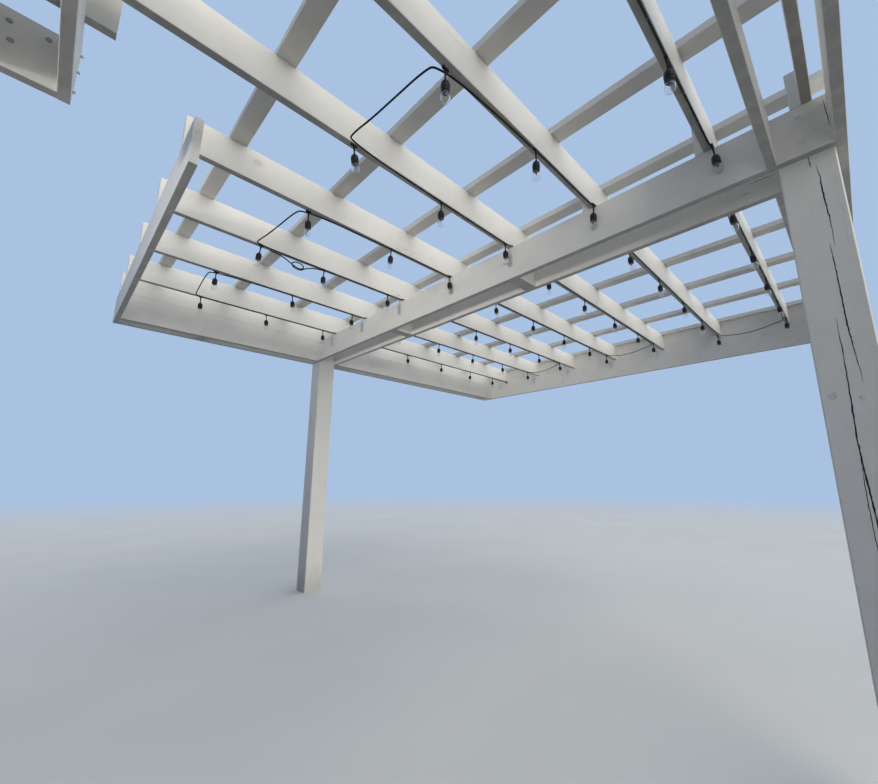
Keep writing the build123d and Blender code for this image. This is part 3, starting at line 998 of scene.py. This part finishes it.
def grown_mesh(name, data, tree, **values):
    """Runs a geometry node tree on a mesh or curve and returns its result as a plain mesh."""
    carrier = bpy.data.objects.new(name + "_carrier", data)
    bpy.context.scene.collection.objects.link(carrier)
    modifier = carrier.modifiers.new("build", "NODES")
    modifier.node_group = tree
    for item in tree.interface.items_tree:
        if item.in_out == "INPUT" and item.name in values:
            modifier[item.identifier] = values[item.name]
    mesh = evaluated_mesh(carrier, name)
    if "facing" in mesh.attributes:
        mesh.attributes.remove(mesh.attributes["facing"])
    return mesh


def item_object(name, form, smooth=True):
    """A helper object that is copied onto points."""
    return bpy.data.objects.new(name, finish_mesh(form, name, smooth))


def spread_items(name, item, places, finish, slot_and_nodes=(), spin=0.0, seed=1):
    """Copies an item to places, each turned at random up to a spin, and adds them as one piece."""
    tree = bpy.data.node_groups.get("items_on_points") or items_tree()
    mesh = grown_mesh(
        name, points_mesh(name + "_points", places), tree,
        Item=item, Spin=spin, Seed=seed, Finish=bpy.data.materials[finish],
    )
    return add_piece(name, mesh, None, *slot_and_nodes)


# Route of the string lights

def row_ends(i):
    """The right face of a row's rafter, and its first, second and last bulbs' places along Y."""
    start_gap, second_gap, end_gap = LIGHT_ROWS[i]
    right_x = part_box(f"near_rafter_{i + 1}")[1].x
    start_y = (SIDE_LEDGER_FACE_Y if i else NEAR_BACK_Y) + start_gap
    return right_x, start_y, start_y + second_gap, LEDGER_FACE_Y - end_gap


def row_bulbs(start_y, second_y, end_y):
    """Places of one row's bulbs along Y. One that would meet the main beam hangs just in front of it."""
    places = [start_y]
    y = second_y
    while y < end_y - SHORTEST_BULB_GAP:
        clear = y < FRONT_BULB_Y - CROSSING_RUN or y > MAIN_BACK_Y + BULB_ROOM
        places.append(y if clear else FRONT_BULB_Y)
        y += BULB_PITCH
    return places + [end_y]


def row_route(right_x, start_x, start_y, second_y, end_y):
    """The cable along one rafter line: under the near rafter, over the main beam, under the far one.

    Beside the main beam it runs along the near rafter's right face.
    """
    near_x = right_x - CABLE_INSET
    side_x = right_x + CABLE_DIAMETER / 2 + CABLE_GAP
    far_x = near_x - PLY
    landing_y = MAIN_BACK_Y + CROSSING_EASE + CROSSING_RAMP
    route = [(start_x, start_y, UNDER_Z)]
    if start_x != near_x:
        route.append((near_x, second_y, UNDER_Z))
    route.append((near_x, FRONT_BULB_Y - CROSSING_RUN, UNDER_Z))
    route.append((side_x, FRONT_BULB_Y, UNDER_Z))
    route.append((side_x, MAIN_FRONT_Y - CROSSING_EASE, OVER_Z))
    route.append((side_x, MAIN_BACK_Y + CROSSING_EASE, OVER_Z))
    route.append((side_x, landing_y, UNDER_Z))
    route.append((far_x, landing_y + CROSSING_RETURN, UNDER_Z))
    route.append((far_x, end_y, UNDER_Z))
    return route


def turn_between(last, following, shape):
    """The points of a free turn between the ends of two rows."""
    points = []
    for share, step_y, step_z in shape:
        x = last[0] + share * (following[0] - last[0])
        y = last[1] + share * (following[1] - last[1]) + step_y
        points.append((x, y, last[2] + step_z))
    return points


def string_layout():
    """The whole cable's route, and the places of its bulbs."""
    route = []
    bulbs = []
    for i in range(len(LIGHT_ROWS)):
        right_x, start_y, second_y, end_y = row_ends(i)
        start_x = right_x - PLY + CABLE_INSET if i % 2 else right_x - CABLE_INSET
        for y in row_bulbs(start_y, second_y, end_y):
            near_row_x = start_x if y == start_y else right_x - CABLE_INSET
            beside_beam_x = right_x + CABLE_DIAMETER / 2 + CABLE_GAP
            near_x = beside_beam_x if y == FRONT_BULB_Y else near_row_x
            bulbs.append((near_x if y < 0 else right_x - PLY - CABLE_INSET, y))
        past_end = ROW_TURN_ROOM if i + 1 < len(LIGHT_ROWS) else LAST_ROW_TAIL
        row = row_route(right_x, start_x, start_y - ROW_TURN_ROOM, second_y, end_y + past_end)
        if i % 2:
            row.reverse()
        if route:
            route += turn_between(route[-1], row[0], FAR_TURN if i % 2 else NEAR_TURN)
        route += row
    first = route[0]
    last = route[-1]
    route.insert(0, (first[0], first[1] - PLUG_RUN, first[2] - PLUG_DROP))
    route.append((last[0], last[1] + PLUG_RUN, last[2] - PLUG_DROP))
    return route, bulbs


def smooth_curve(name, points):
    """A smooth NURBS curve with the route's points as its control points."""
    curve = bpy.data.curves.new(name, "CURVE")
    curve.dimensions = "3D"
    curve.resolution_u = 12
    spline = curve.splines.new("NURBS")
    spline.points.add(len(points) - 1)
    for control, point in zip(spline.points, points):
        control.co = (*point, 1.0)
    spline.order_u = 3
    spline.use_endpoint_u = True
    return curve


def add_cable(name, points, nodes, lights):
    """A cable along a route as one smooth piece."""
    tree = bpy.data.node_groups.get("cable_on_curve") or cable_tree()
    mesh = grown_mesh(
        name, smooth_curve(name, points), tree,
        Radius=CABLE_DIAMETER / 2, Step=lights.spacing, Sides=lights.sides, Sag=lights.sag,
        Level=UNDER_Z, Finish=bpy.data.materials["cable_sheath"],
    )
    return add_piece(name, mesh, None, "cable", *nodes)


# Splits in the timber

def split_cutter(form, points, opening, depth, to_face, draw):
    """A jagged closed wedge along a split, pointed at both ends, made in a face's own along, up and out."""
    fine = []
    for (x0, z0), (x1, z1) in zip(points, points[1:]):
        for k in range(SPLIT_STEPS):
            share = k / SPLIT_STEPS
            fine.append((x0 + share * (x1 - x0), z0 + share * (z1 - z0)))
    fine.append(points[-1])
    rings = []
    for i, (along, up) in enumerate(fine):
        rise = math.sin(math.pi * i / (len(fine) - 1))
        if i in (0, len(fine) - 1):
            rings.append([form.verts.new(to_face(along, up, CUTTER_PROUD))])
            continue
        half = opening / 2 * rise ** 0.5 * draw.uniform(SPLIT_NARROWEST, 1.0)
        middle = along + draw.uniform(-SPLIT_WANDER, SPLIT_WANDER)
        places = (
            to_face(middle - half, up, CUTTER_PROUD),
            to_face(middle + half, up, CUTTER_PROUD),
            to_face(middle, up, -depth * rise ** 0.5),
        )
        rings.append([form.verts.new(place) for place in places])
    for lower, upper in zip(rings, rings[1:]):
        bridge(form, lower, upper, 3)


def joined_form(node_name):
    """A board's own shape with its triangles joined into whole faces."""
    form = welded_form(node_name)
    bmesh.ops.dissolve_limit(form, angle_limit=math.radians(1.0), verts=form.verts, edges=form.edges)
    return form


def split_board(node_name, splits, seed):
    """A board with splits cut into it, which stands for the whole one."""
    name = node_name + "_split"
    draw = random.Random(seed)
    form = bmesh.new()
    for points, opening, depth, to_face in splits:
        split_cutter(form, points, opening, depth, to_face, draw)
    cutter_mesh = finish_mesh(form, name + "_cutter", smooth=False)
    cutter_mesh.materials.append(bpy.data.materials["split_wood"])
    cutter = bpy.data.objects.new(name + "_cutter", cutter_mesh)
    mesh = finish_mesh(joined_form(node_name), name, smooth=False)
    mesh.materials.append(bpy.data.materials[f"paint_{node_name}"])
    board = bpy.data.objects.new(name + "_whole", mesh)
    bpy.context.scene.collection.objects.link(board)
    bpy.context.scene.collection.objects.link(cutter)
    cut = board.modifiers.new("split", "BOOLEAN")
    cut.object = cutter
    cut.operation = "DIFFERENCE"
    cut.solver = "EXACT"
    cut.material_mode = "TRANSFER"
    cut.use_self = True
    result = evaluated_mesh(board, name)
    bpy.data.objects.remove(cutter)
    return add_piece(name, result, None, "white_paint", node_name)


def front_face(face_y):
    """Places on a face that looks towards the front, with depth going back into the board."""
    return lambda along, up, out: (along, face_y - out, up)


def upright(split):
    """A level split as the cutter makes it: up and along change places."""
    points, opening, depth, to_face = split
    turned = [(up, along) for along, up in points]
    return turned, opening, depth, lambda along, up, out: to_face(up, along, out)


# Items that are copied many times

def turned_item(name, *turned, smooth=True):
    """An item turned from profiles, each given with how many sides it has."""
    form = bmesh.new()
    for profile, sides in turned:
        lathe(form, profile, sides)
    return item_object(name, form, smooth)


def bolt_head_item(diameter):
    """A domed bolt head."""
    head = diameter / 2
    profile = [(0.0, SEAT), (head, SEAT)]
    for angle in map(math.radians, DOME_ANGLES):
        profile.append((head * math.cos(angle), DOME_HEIGHT * math.sin(angle)))
    profile.append((0.0, DOME_TOP))
    return turned_item("bolt_head_item", (profile, BOLT_SIDES))


def nut_item(diameter):
    """A nut on a washer of this diameter, with the bolt's end standing out of it."""
    edge = diameter / 2
    washer = ((0.0, SEAT), (edge, SEAT), (edge, WASHER_TOP), (0.0, WASHER_TOP))
    return turned_item(
        "nut_item", (washer, BOLT_SIDES), (NUT_PROFILE, 6), (BOLT_END_PROFILE, LEAD_SIDES), smooth=False,
    )


def screw_item(diameter):
    """A small countersunk screw head with its recess."""
    head = diameter / 2
    profile = (
        (0.0, SEAT), (head, SEAT), (head, 0.0), (head * 0.92, SCREW_RISE), (head * 0.42, SCREW_RISE),
        (head * 0.34, SCREW_RECESS), (0.0, SCREW_RECESS_FLOOR),
    )
    return turned_item("screw_item", (profile, SCREW_SIDES))


def staple_item():
    """A wire staple that holds the cable up under a board; its crown is below, its legs go up."""
    form = bmesh.new()
    half = CABLE_DIAMETER / 2 + STAPLE_ROOM
    top = CABLE_DIAMETER / 2 + CABLE_GAP + STAPLE_BITE
    left = [(-half, 0, top), (-half, 0, -STAPLE_BEND), (-half * 0.7, 0, -half)]
    right = [(-x, y, z) for x, y, z in reversed(left)]
    tube(form, left + right, STAPLE_WIRE, 6)
    return item_object("staple_item", form)


def branch_item():
    """The moulded branch on the cable from which a lead hangs."""
    form = bmesh.new()
    made = bmesh.ops.create_cube(form, size=1.0)
    centre_z = UNDER_Z - LEAD_TOP_Z - BRANCH_DROP
    bmesh.ops.scale(form, verts=made["verts"], vec=BRANCH_SIZE)
    bmesh.ops.translate(form, verts=made["verts"], vec=(0.0, 0.0, centre_z))
    bmesh.ops.bevel(
        form, geom=form.edges[:], offset=BRANCH_ROUNDING, segments=3, affect="EDGES", profile=0.5,
    )
    return item_object("branch_item", form)


def glass_item():
    """The glass of a bulb, with a real wall and its inner stem."""
    form = bmesh.new()
    inner = [(max(radius - GLASS_WALL, 0.0), height) for radius, height in GLASS_PROFILE[:-1]]
    inner.append((0.0, GLASS_PROFILE[-1][1] + GLASS_WALL))
    rings = lathe(form, GLASS_PROFILE, BULB_SIDES)
    inner_rings = lathe(form, inner, BULB_SIDES)
    bridge(form, rings[0], inner_rings[0], BULB_SIDES)
    lathe(form, STEM_PROFILE, LEAD_SIDES)
    return item_object("glass_item", form)


def filament_item():
    """The brass collar, and the wires and coil inside the bulb."""
    form = bmesh.new()
    lathe(form, COLLAR_PROFILE, BULB_SIDES, closed=True)
    for side in (-1, 1):
        top = (side * WIRE_TOP_X, 0, WIRE_TOP_Z)
        bend = (side * WIRE_BEND_X, 0, WIRE_BEND_Z)
        tube(form, [top, bend, (side * FILAMENT_HALF, 0, FILAMENT_Z)], WIRE_RADIUS, 6)
    zigzag = []
    for i in range(FILAMENT_STEPS + 1):
        x = -FILAMENT_HALF + i * 2 * FILAMENT_HALF / FILAMENT_STEPS
        way = (-1) ** i
        zigzag.append((x, FILAMENT_SWING * way, FILAMENT_Z + FILAMENT_RISE * way))
    tube(form, zigzag, FILAMENT_RADIUS, 5)
    return item_object("filament_item", form)


# Places of the copied items

def bolt_places():
    """Places of the bolts through the beams, as heads in front and nuts behind."""
    heads = []
    nuts = []
    for post, front_y, back_y in (
        (RIGHT_POST, MAIN_FRONT_Y, MAIN_BACK_Y),
        (LEFT_POST, MAIN_FRONT_Y, MAIN_BACK_Y),
        (NEAR_POST, NEAR_FRONT_Y, NEAR_BACK_Y),
    ):
        x = (post[0].x + post[1].x) / 2
        for z in (BEAM_TOP - BOLT_BELOW_TOP, BEAM_UNDERSIDE + BOLT_ABOVE_UNDERSIDE):
            heads.append(((x, front_y, z), (0, -1, 0)))
            nuts.append(((x, back_y, z), (0, 1, 0)))
    return heads, nuts


def bearer_places():
    """Places of the three bolts in the masonry bearer, and of the three ends behind the near beam."""
    bolts = [((BEARER_FACE_X, y, z), (1, 0, 0)) for y, z in BEARER_BOLTS]
    ends = [((BEARER_FACE_X - PLY / 2, NEAR_BACK_Y, z), (0, 1, 0)) for z in BEARER_END_HEIGHTS]
    return bolts, ends


def ledger_places(pitch):
    """Staggered bolts along the two ledgers, clear of the girder ends."""
    places = []
    ledgers = (("house_ledger", LEDGER_FACE_Y, -1), ("masonry_ledger", SIDE_LEDGER_FACE_Y, 1))
    for node_name, face_y, way in ledgers:
        low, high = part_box(node_name)
        x = low.x + LEDGER_BOLT_START
        step = 0
        while x < high.x - LEDGER_BOLT_END:
            places.append(((x, face_y, low.z + LEDGER_BOLT_HEIGHTS[step % 2]), (0, way, 0)))
            x += pitch
            step += 1
    return places


def islands(node_name):
    """Low and high corners of each board in a node of several boards."""
    form = welded_form(node_name)
    seen = set()
    boxes = []
    for start in form.verts:
        if start in seen:
            continue
        seen.add(start)
        group = [start]
        for vertex in group:
            for edge in vertex.link_edges:
                other = edge.other_vert(vertex)
                if other not in seen:
                    seen.add(other)
                    group.append(other)
        axes = list(zip(*(vertex.co for vertex in group)))
        boxes.append((Vector([min(axis) for axis in axes]), Vector([max(axis) for axis in axes])))
    form.free()
    return boxes


def slat_screw_places():
    """Two screws where each slat crosses a rafter or a tail."""
    carriers = [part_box(name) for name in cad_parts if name.startswith(RAFTERS)]
    carriers += islands("rafter_tails")
    places = []
    for node_name in ("near_slats", "far_slats", "tail_slats"):
        for low, high in islands(node_name):
            for rafter_low, rafter_high in carriers:
                x = (rafter_low.x + rafter_high.x) / 2
                middle_y = (low.y + high.y) / 2
                if not (low.x < x < high.x and rafter_low.y < middle_y < rafter_high.y):
                    continue
                for share in SLAT_SCREW_SHARES:
                    places.append(((x, low.y + share * (high.y - low.y), SLAT_TOP), (0, 0, 1)))
    return places


def nail_places():
    """Toe nails through the rafters over what carries them, and nails in the main beam's right end."""
    draw = random.Random(11)
    places = []
    for name in sorted(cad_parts):
        if not name.startswith(RAFTERS):
            continue
        low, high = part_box(name)
        supports = [MAIN_FRONT_Y + PLY / 2, MAIN_BACK_Y - PLY / 2]
        supports.append(LEDGER_FACE_Y - LEDGER_NAIL_BACK if name.startswith("far") else low.y + PLY / 2)
        for y in supports:
            z = low.z + draw.uniform(*NAIL_HEIGHTS)
            for x, way in ((high.x, 1), (low.x, -1)):
                places.append(((x, y + draw.uniform(-NAIL_DRIFT, NAIL_DRIFT), z), (way, 0, 0)))
    middle = (RIGHT_POST[0].x + RIGHT_POST[1].x) / 2
    for x, z in BEAM_END_NAILS:
        places.append(((middle + x, MAIN_FRONT_Y, z), (0, -1, 0)))
    return places


def staple_places():
    """Two staples between each pair of bulbs on a row, except round the main beam."""
    places = []
    for i in range(len(LIGHT_ROWS)):
        right_x, *row = row_ends(i)
        bulbs = row_bulbs(*row)
        for number, (near, far) in enumerate(zip(bulbs, bulbs[1:])):
            if number == 0 and i % 2:
                continue
            for share in STAPLE_SHARES:
                y = near + share * (far - near)
                in_front = y < FRONT_BULB_Y - CROSSING_RUN - CROSSING_RETURN
                behind = y > MAIN_BACK_Y + CROSSING_RAMP + 2 * CROSSING_RETURN
                if in_front or behind:
                    x = right_x - CABLE_INSET - (0.0 if in_front else PLY)
                    places.append(((x, y, UNDER_Z), (0, 0, 1)))
    return places


def lamp_places(bulbs, lights):
    """Places of the lamps, each leaning its own way; those in front of the main beam lean off it."""
    draw = random.Random(lights.seed)
    places = []
    for x, y in bulbs:
        lean_x = math.tan(draw.uniform(-lights.tilt, lights.tilt))
        lean_y = math.tan(draw.uniform(-lights.tilt, lights.tilt))
        if y == FRONT_BULB_Y:
            lean_y = abs(lean_y)
        places.append(((x, y, LEAD_TOP_Z), (lean_x, lean_y, 1.0)))
    return places


# The cable's ends

def end_fittings(route):
    """The cap on the cable's near end and the plug on its far end, as one mesh."""
    form = bmesh.new()
    for profile, end, beside in ((CAP_PROFILE, route[0], route[1]), (PLUG_PROFILE, route[-1], route[-2])):
        part = bmesh.new()
        lathe(part, profile, HOLDER_SIDES)
        if profile is PLUG_PROFILE:
            for side in (-0.5, 0.5):
                blade = bmesh.ops.create_cube(part, size=1.0)["verts"]
                bmesh.ops.scale(part, verts=blade, vec=PLUG_BLADE)
                rise = profile[-1][1] + PLUG_BLADE[2] / 2 - PLUG_BLADE_SEAT
                bmesh.ops.translate(part, verts=blade, vec=(side * PLUG_BLADE_SPACING, 0.0, rise))
        heading = (Vector(end) - Vector(beside)).to_track_quat("Z", "X").to_matrix().to_4x4()
        bmesh.ops.transform(part, matrix=Matrix.Translation(end) @ heading, verts=part.verts)
        mesh = bpy.data.meshes.new("fitting")
        part.to_mesh(mesh)
        part.free()
        form.from_mesh(mesh)
        bpy.data.meshes.remove(mesh)
    return finish_mesh(form, "cable_plug_and_cap")


# Stage

def seen_share(tree):
    """One where the camera, a reflection or glass sees the surface, and nothing for bounced light."""
    path = tree.nodes.new("ShaderNodeLightPath").outputs
    direct = plus(tree, path["Is Camera Ray"], path["Is Glossy Ray"], True)
    return plus(tree, direct, path["Is Transmission Ray"], True)


def add_floor(settings):
    """A large pale floor that fades into the backdrop far away."""
    form = bmesh.new()
    bmesh.ops.create_circle(form, cap_ends=True, radius=FLOOR_RADIUS, segments=64)
    mesh = bpy.data.meshes.new("floor")
    form.to_mesh(mesh)
    form.free()
    floor = bpy.data.objects.new("floor", mesh)
    bpy.context.scene.collection.objects.link(floor)
    tree, shader = new_material("pale_floor")
    place = object_place(tree)
    darker = tuple(channel * FLOOR_MOTTLING for channel in settings.floor)
    cloud = ramp(tree, noise(tree, place, 0.8, 3.0), 0.3, 0.7)
    tint = blend(tree, cloud, colour(settings.floor), colour(darker))
    rightward = ramp(tree, axis_of(tree, place, "X"), *BOUNCE_EDGE)
    bounce = blend(tree, rightward, colour(SHADED_BOUNCE), colour(BRIGHT_BOUNCE))
    bounced = blend(tree, seen_share(tree), bounce, tint)
    tree.links.new(bounced, shader.inputs["Base Color"])
    shader.inputs["Roughness"].default_value = 0.9
    distance = node(tree, "ShaderNodeVectorMath", {"operation": "LENGTH"}, _0=place).outputs["Value"]
    far = ramp(tree, distance, *FLOOR_FADE)
    glow = node(tree, "ShaderNodeEmission", None, Color=colour(settings.backdrop), Strength=1.0)
    mix = node(tree, "ShaderNodeMixShader", None, _0=far, _1=shader.outputs[0], _2=glow.outputs[0])
    output = tree.get_output_node("ALL")
    tree.links.new(mix.outputs[0], output.inputs["Surface"])
    mesh.materials.append(bpy.data.materials["pale_floor"])


def add_world(scene, settings):
    """Soft light from all round, weaker and bluer from the front, and the backdrop where it is seen."""
    world = bpy.data.worlds.new("soft_sky")
    world.use_nodes = True
    tree = world.node_tree
    tree.nodes.clear()
    way = node(tree, "ShaderNodeTexCoord").outputs["Generated"]
    behind = ramp(tree, axis_of(tree, way, "Y"), *SKY_EDGE)
    sky = blend(tree, behind, colour(FRONT_SKY), colour(BACK_SKY))
    light = node(tree, "ShaderNodeBackground", None, Color=sky, Strength=settings.sky_strength).outputs[0]
    backdrop = colour(settings.backdrop)
    seen = node(tree, "ShaderNodeBackground", None, Color=backdrop, Strength=1.0).outputs[0]
    mix = node(tree, "ShaderNodeMixShader", None, _0=seen_share(tree), _1=light, _2=seen)
    output = tree.nodes.new("ShaderNodeOutputWorld")
    tree.links.new(mix.outputs[0], output.inputs["Surface"])
    scene.world = world


def add_soft_light(name, strength, tint, source):
    """A very soft light that comes from one side."""
    lamp = bpy.data.lights.new(name, "SUN")
    lamp.energy = strength
    lamp.color = tint
    lamp.angle = SOFT_ANGLE
    light = bpy.data.objects.new(name, lamp)
    light.visible_transmission = False
    light.rotation_euler = Vector(source).to_track_quat("Z", "Y").to_euler()
    bpy.context.scene.collection.objects.link(light)


def add_fill_light(power):
    """A soft lamp with a narrow grid, low in front, that reaches the main beam more than the right post."""
    lamp = bpy.data.lights.new("fill_light", "AREA")
    lamp.shape = "RECTANGLE"
    lamp.size, lamp.size_y = FILL_SIZE
    lamp.energy = power
    lamp.color = FILL_COLOUR
    lamp.spread = FILL_SPREAD
    light = bpy.data.objects.new("fill_light", lamp)
    light.location = FILL_PLACE
    light.rotation_euler = (FILL_PLACE - FILL_AIM).to_track_quat("Z", "Y").to_euler()
    light.visible_camera = False
    light.visible_glossy = False
    light.visible_transmission = False
    bpy.context.scene.collection.objects.link(light)


def add_camera(scene):
    """The camera, looking up to the left through the frame."""
    level = math.cos(CAMERA_PITCH)
    forward = Vector((-math.sin(CAMERA_YAW) * level, math.cos(CAMERA_YAW) * level, math.sin(CAMERA_PITCH)))
    level_right = Vector((math.cos(CAMERA_YAW), math.sin(CAMERA_YAW), 0.0))
    level_up = level_right.cross(forward)
    right = level_right * math.cos(CAMERA_ROLL) + level_up * math.sin(CAMERA_ROLL)
    up = right.cross(forward)
    lens = bpy.data.cameras.new("camera")
    lens.sensor_width = SENSOR_WIDTH
    lens.lens = FOCAL_PIXELS * SENSOR_WIDTH / IMAGE_WIDTH
    lens.shift_x, lens.shift_y = CAMERA_SHIFT
    lens.clip_start = 0.02
    camera = bpy.data.objects.new("camera", lens)
    turn = Matrix((right, up, -forward)).transposed().to_4x4()
    camera.matrix_world = Matrix.Translation(CAMERA_PLACE) @ turn
    scene.collection.objects.link(camera)
    scene.camera = camera


# Operators

class PERGOLA_OT_finishes(bpy.types.Operator):
    """Make the materials and paint every board of the frame."""

    bl_idname = "pergola.finishes"
    bl_label = "Paint Timber"

    def execute(self, context):
        build_finishes(context.scene)
        for name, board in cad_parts.items():
            finish = "cable_sheath" if name in NOT_TIMBER else f"paint_{name}"
            board.data.materials.clear()
            board.data.materials.append(bpy.data.materials[finish])
        return {"FINISHED"}


class PERGOLA_OT_splits(bpy.types.Operator):
    """Cut the drying splits into the right post and the main beam."""

    bl_idname = "pergola.splits"
    bl_label = "Split Timber"

    def execute(self, context):
        post_face = front_face(RIGHT_POST[0].y)
        back_ply_face = front_face(MAIN_BACK_Y - PLY)
        front_ply_face = front_face(MAIN_FRONT_Y)
        split_board("right_post", [split + (post_face,) for split in RIGHT_POST_SPLITS], 3)
        split_board("main_beam_back", [upright(split + (back_ply_face,)) for split in BACK_PLY_SPLITS], 5)
        split_board("main_beam_front", [split + (front_ply_face,) for split in FRONT_PLY_SPLITS], 6)
        return {"FINISHED"}


class PERGOLA_OT_fixings(bpy.types.Operator):
    """Add the bolts, nuts, screws and nails."""

    bl_idname = "pergola.fixings"
    bl_label = "Add Fixings"

    def execute(self, context):
        fixings = context.scene.pergola_fixings
        heads, nuts = bolt_places()
        bearer_bolts, bearer_ends = bearer_places()
        heads += ledger_places(fixings.ledger_bolt_pitch)
        stub = turned_item("stub_item", (STUB_PROFILE, LEAD_SIDES))
        nail = turned_item("nail_item", (NAIL_PROFILE, SCREW_SIDES))
        for name, item, places, finish, seed in (
            ("bolt_heads", bolt_head_item(fixings.bolt_head), heads, "painted_steel", 2),
            ("bolt_nuts", nut_item(fixings.washer), nuts, "painted_steel", 3),
            ("bearer_bolts", bolt_head_item(fixings.bearer_bolt), bearer_bolts, "dull_steel", 6),
            ("bearer_bolt_ends", stub, bearer_ends, "painted_steel", 7),
            ("slat_screws", screw_item(fixings.screw_head), slat_screw_places(), "zinc_steel", 4),
            ("nail_heads", nail, nail_places(), "painted_steel", 5),
        ):
            spread_items(name, item, places, finish, spin=ANY_SPIN, seed=seed)
        return {"FINISHED"}


class PERGOLA_OT_cable(bpy.types.Operator):
    """Run the lights' cable along the rafters and hang its spare loop."""

    bl_idname = "pergola.cable"
    bl_label = "Run Cable"

    def execute(self, context):
        lights = context.scene.pergola_lights
        route, _ = string_layout()
        add_cable("string_cable", route, ("light_cable",), lights)
        loop_x = row_ends(LOOP_ROW)[0] - CABLE_INSET
        loop_y = SIDE_LEDGER_FACE_Y + LOOP_START
        loop_z = UNDER_Z - CABLE_DIAMETER - CABLE_GAP
        loop = [(loop_x + x, loop_y + y, loop_z + z) for x, y, z in LOOP_POINTS]
        add_cable("spare_loop", loop, ("slack_loop",), lights)
        add_piece("cable_plug_and_cap", end_fittings(route), "holder_rubber", "socket", "cable_ends")
        spread_items("cable_staples", staple_item(), staple_places(), "zinc_steel")
        return {"FINISHED"}


class PERGOLA_OT_lamps(bpy.types.Operator):
    """Hang the lamp holders and bulbs from the cable."""

    bl_idname = "pergola.lamps"
    bl_label = "Hang Lamps"

    def execute(self, context):
        lights = context.scene.pergola_lights
        _, bulbs = string_layout()
        upright_places = [((x, y, LEAD_TOP_Z), (0, 0, 1)) for x, y in bulbs]
        places = lamp_places(bulbs, lights)
        lead = turned_item("lead_item", (LEAD_PROFILE, LEAD_SIDES))
        holder = turned_item("holder_item", (HOLDER_PROFILE, HOLDER_SIDES))
        spread_items("cable_branches", branch_item(), upright_places, "cable_sheath", ("cable",))
        spread_items("lamp_leads", lead, places, "cable_sheath", ("cable",))
        spread_items("lamp_holders", holder, places, "holder_rubber", ("socket", "light_sockets"))
        spread_items("lamp_glass", glass_item(), places, "clear_glass", ("bulb", "light_bulbs"))
        spread_items("lamp_filaments", filament_item(), places, "lamp_brass")
        return {"FINISHED"}


class PERGOLA_OT_stage(bpy.types.Operator):
    """Set the floor, the light and the camera."""

    bl_idname = "pergola.stage"
    bl_label = "Set Stage"

    def execute(self, context):
        settings = context.scene.pergola_stage
        add_floor(settings)
        add_world(context.scene, settings)
        add_soft_light("key_light", settings.key_strength, *KEY_LIGHT)
        add_soft_light("back_light", settings.back_strength, *BACK_LIGHT)
        add_fill_light(settings.fill_power)
        add_camera(context.scene)
        context.scene.view_settings.view_transform = "Standard"
        return {"FINISHED"}


OPERATORS = (
    PERGOLA_OT_finishes,
    PERGOLA_OT_splits,
    PERGOLA_OT_fixings,
    PERGOLA_OT_cable,
    PERGOLA_OT_lamps,
    PERGOLA_OT_stage,
)


# Panel and registration

class PERGOLA_PT_panel(bpy.types.Panel):
    """Lists the pergola's settings and steps in the sidebar."""

    bl_idname = "PERGOLA_PT_panel"
    bl_label = "Pergola"
    bl_space_type = "VIEW_3D"
    bl_region_type = "UI"
    bl_category = "Pergola"

    def draw(self, context):
        layout = self.layout
        for operator in OPERATORS:
            layout.operator(operator.bl_idname)
        for key, group in SETTINGS.items():
            box = layout.box()
            box.label(text=group.__doc__)
            for field in group.__annotations__:
                box.prop(getattr(context.scene, key), field)


def register():
    """Registers the settings, the operators and the panel."""
    for key, group in SETTINGS.items():
        bpy.utils.register_class(group)
        setattr(bpy.types.Scene, key, bpy.props.PointerProperty(type=group))
    for operator in OPERATORS:
        bpy.utils.register_class(operator)
    bpy.utils.register_class(PERGOLA_PT_panel)


def unregister():
    """Takes them away again."""
    bpy.utils.unregister_class(PERGOLA_PT_panel)
    for operator in reversed(OPERATORS):
        bpy.utils.unregister_class(operator)
    for key, group in SETTINGS.items():
        delattr(bpy.types.Scene, key)
        bpy.utils.unregister_class(group)


def main():
    """Builds everything in order."""
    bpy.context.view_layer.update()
    register()
    for operator in OPERATORS:
        area, step = operator.bl_idname.split(".")
        getattr(getattr(bpy.ops, area), step)()


if __name__ == "__main__":
    main()
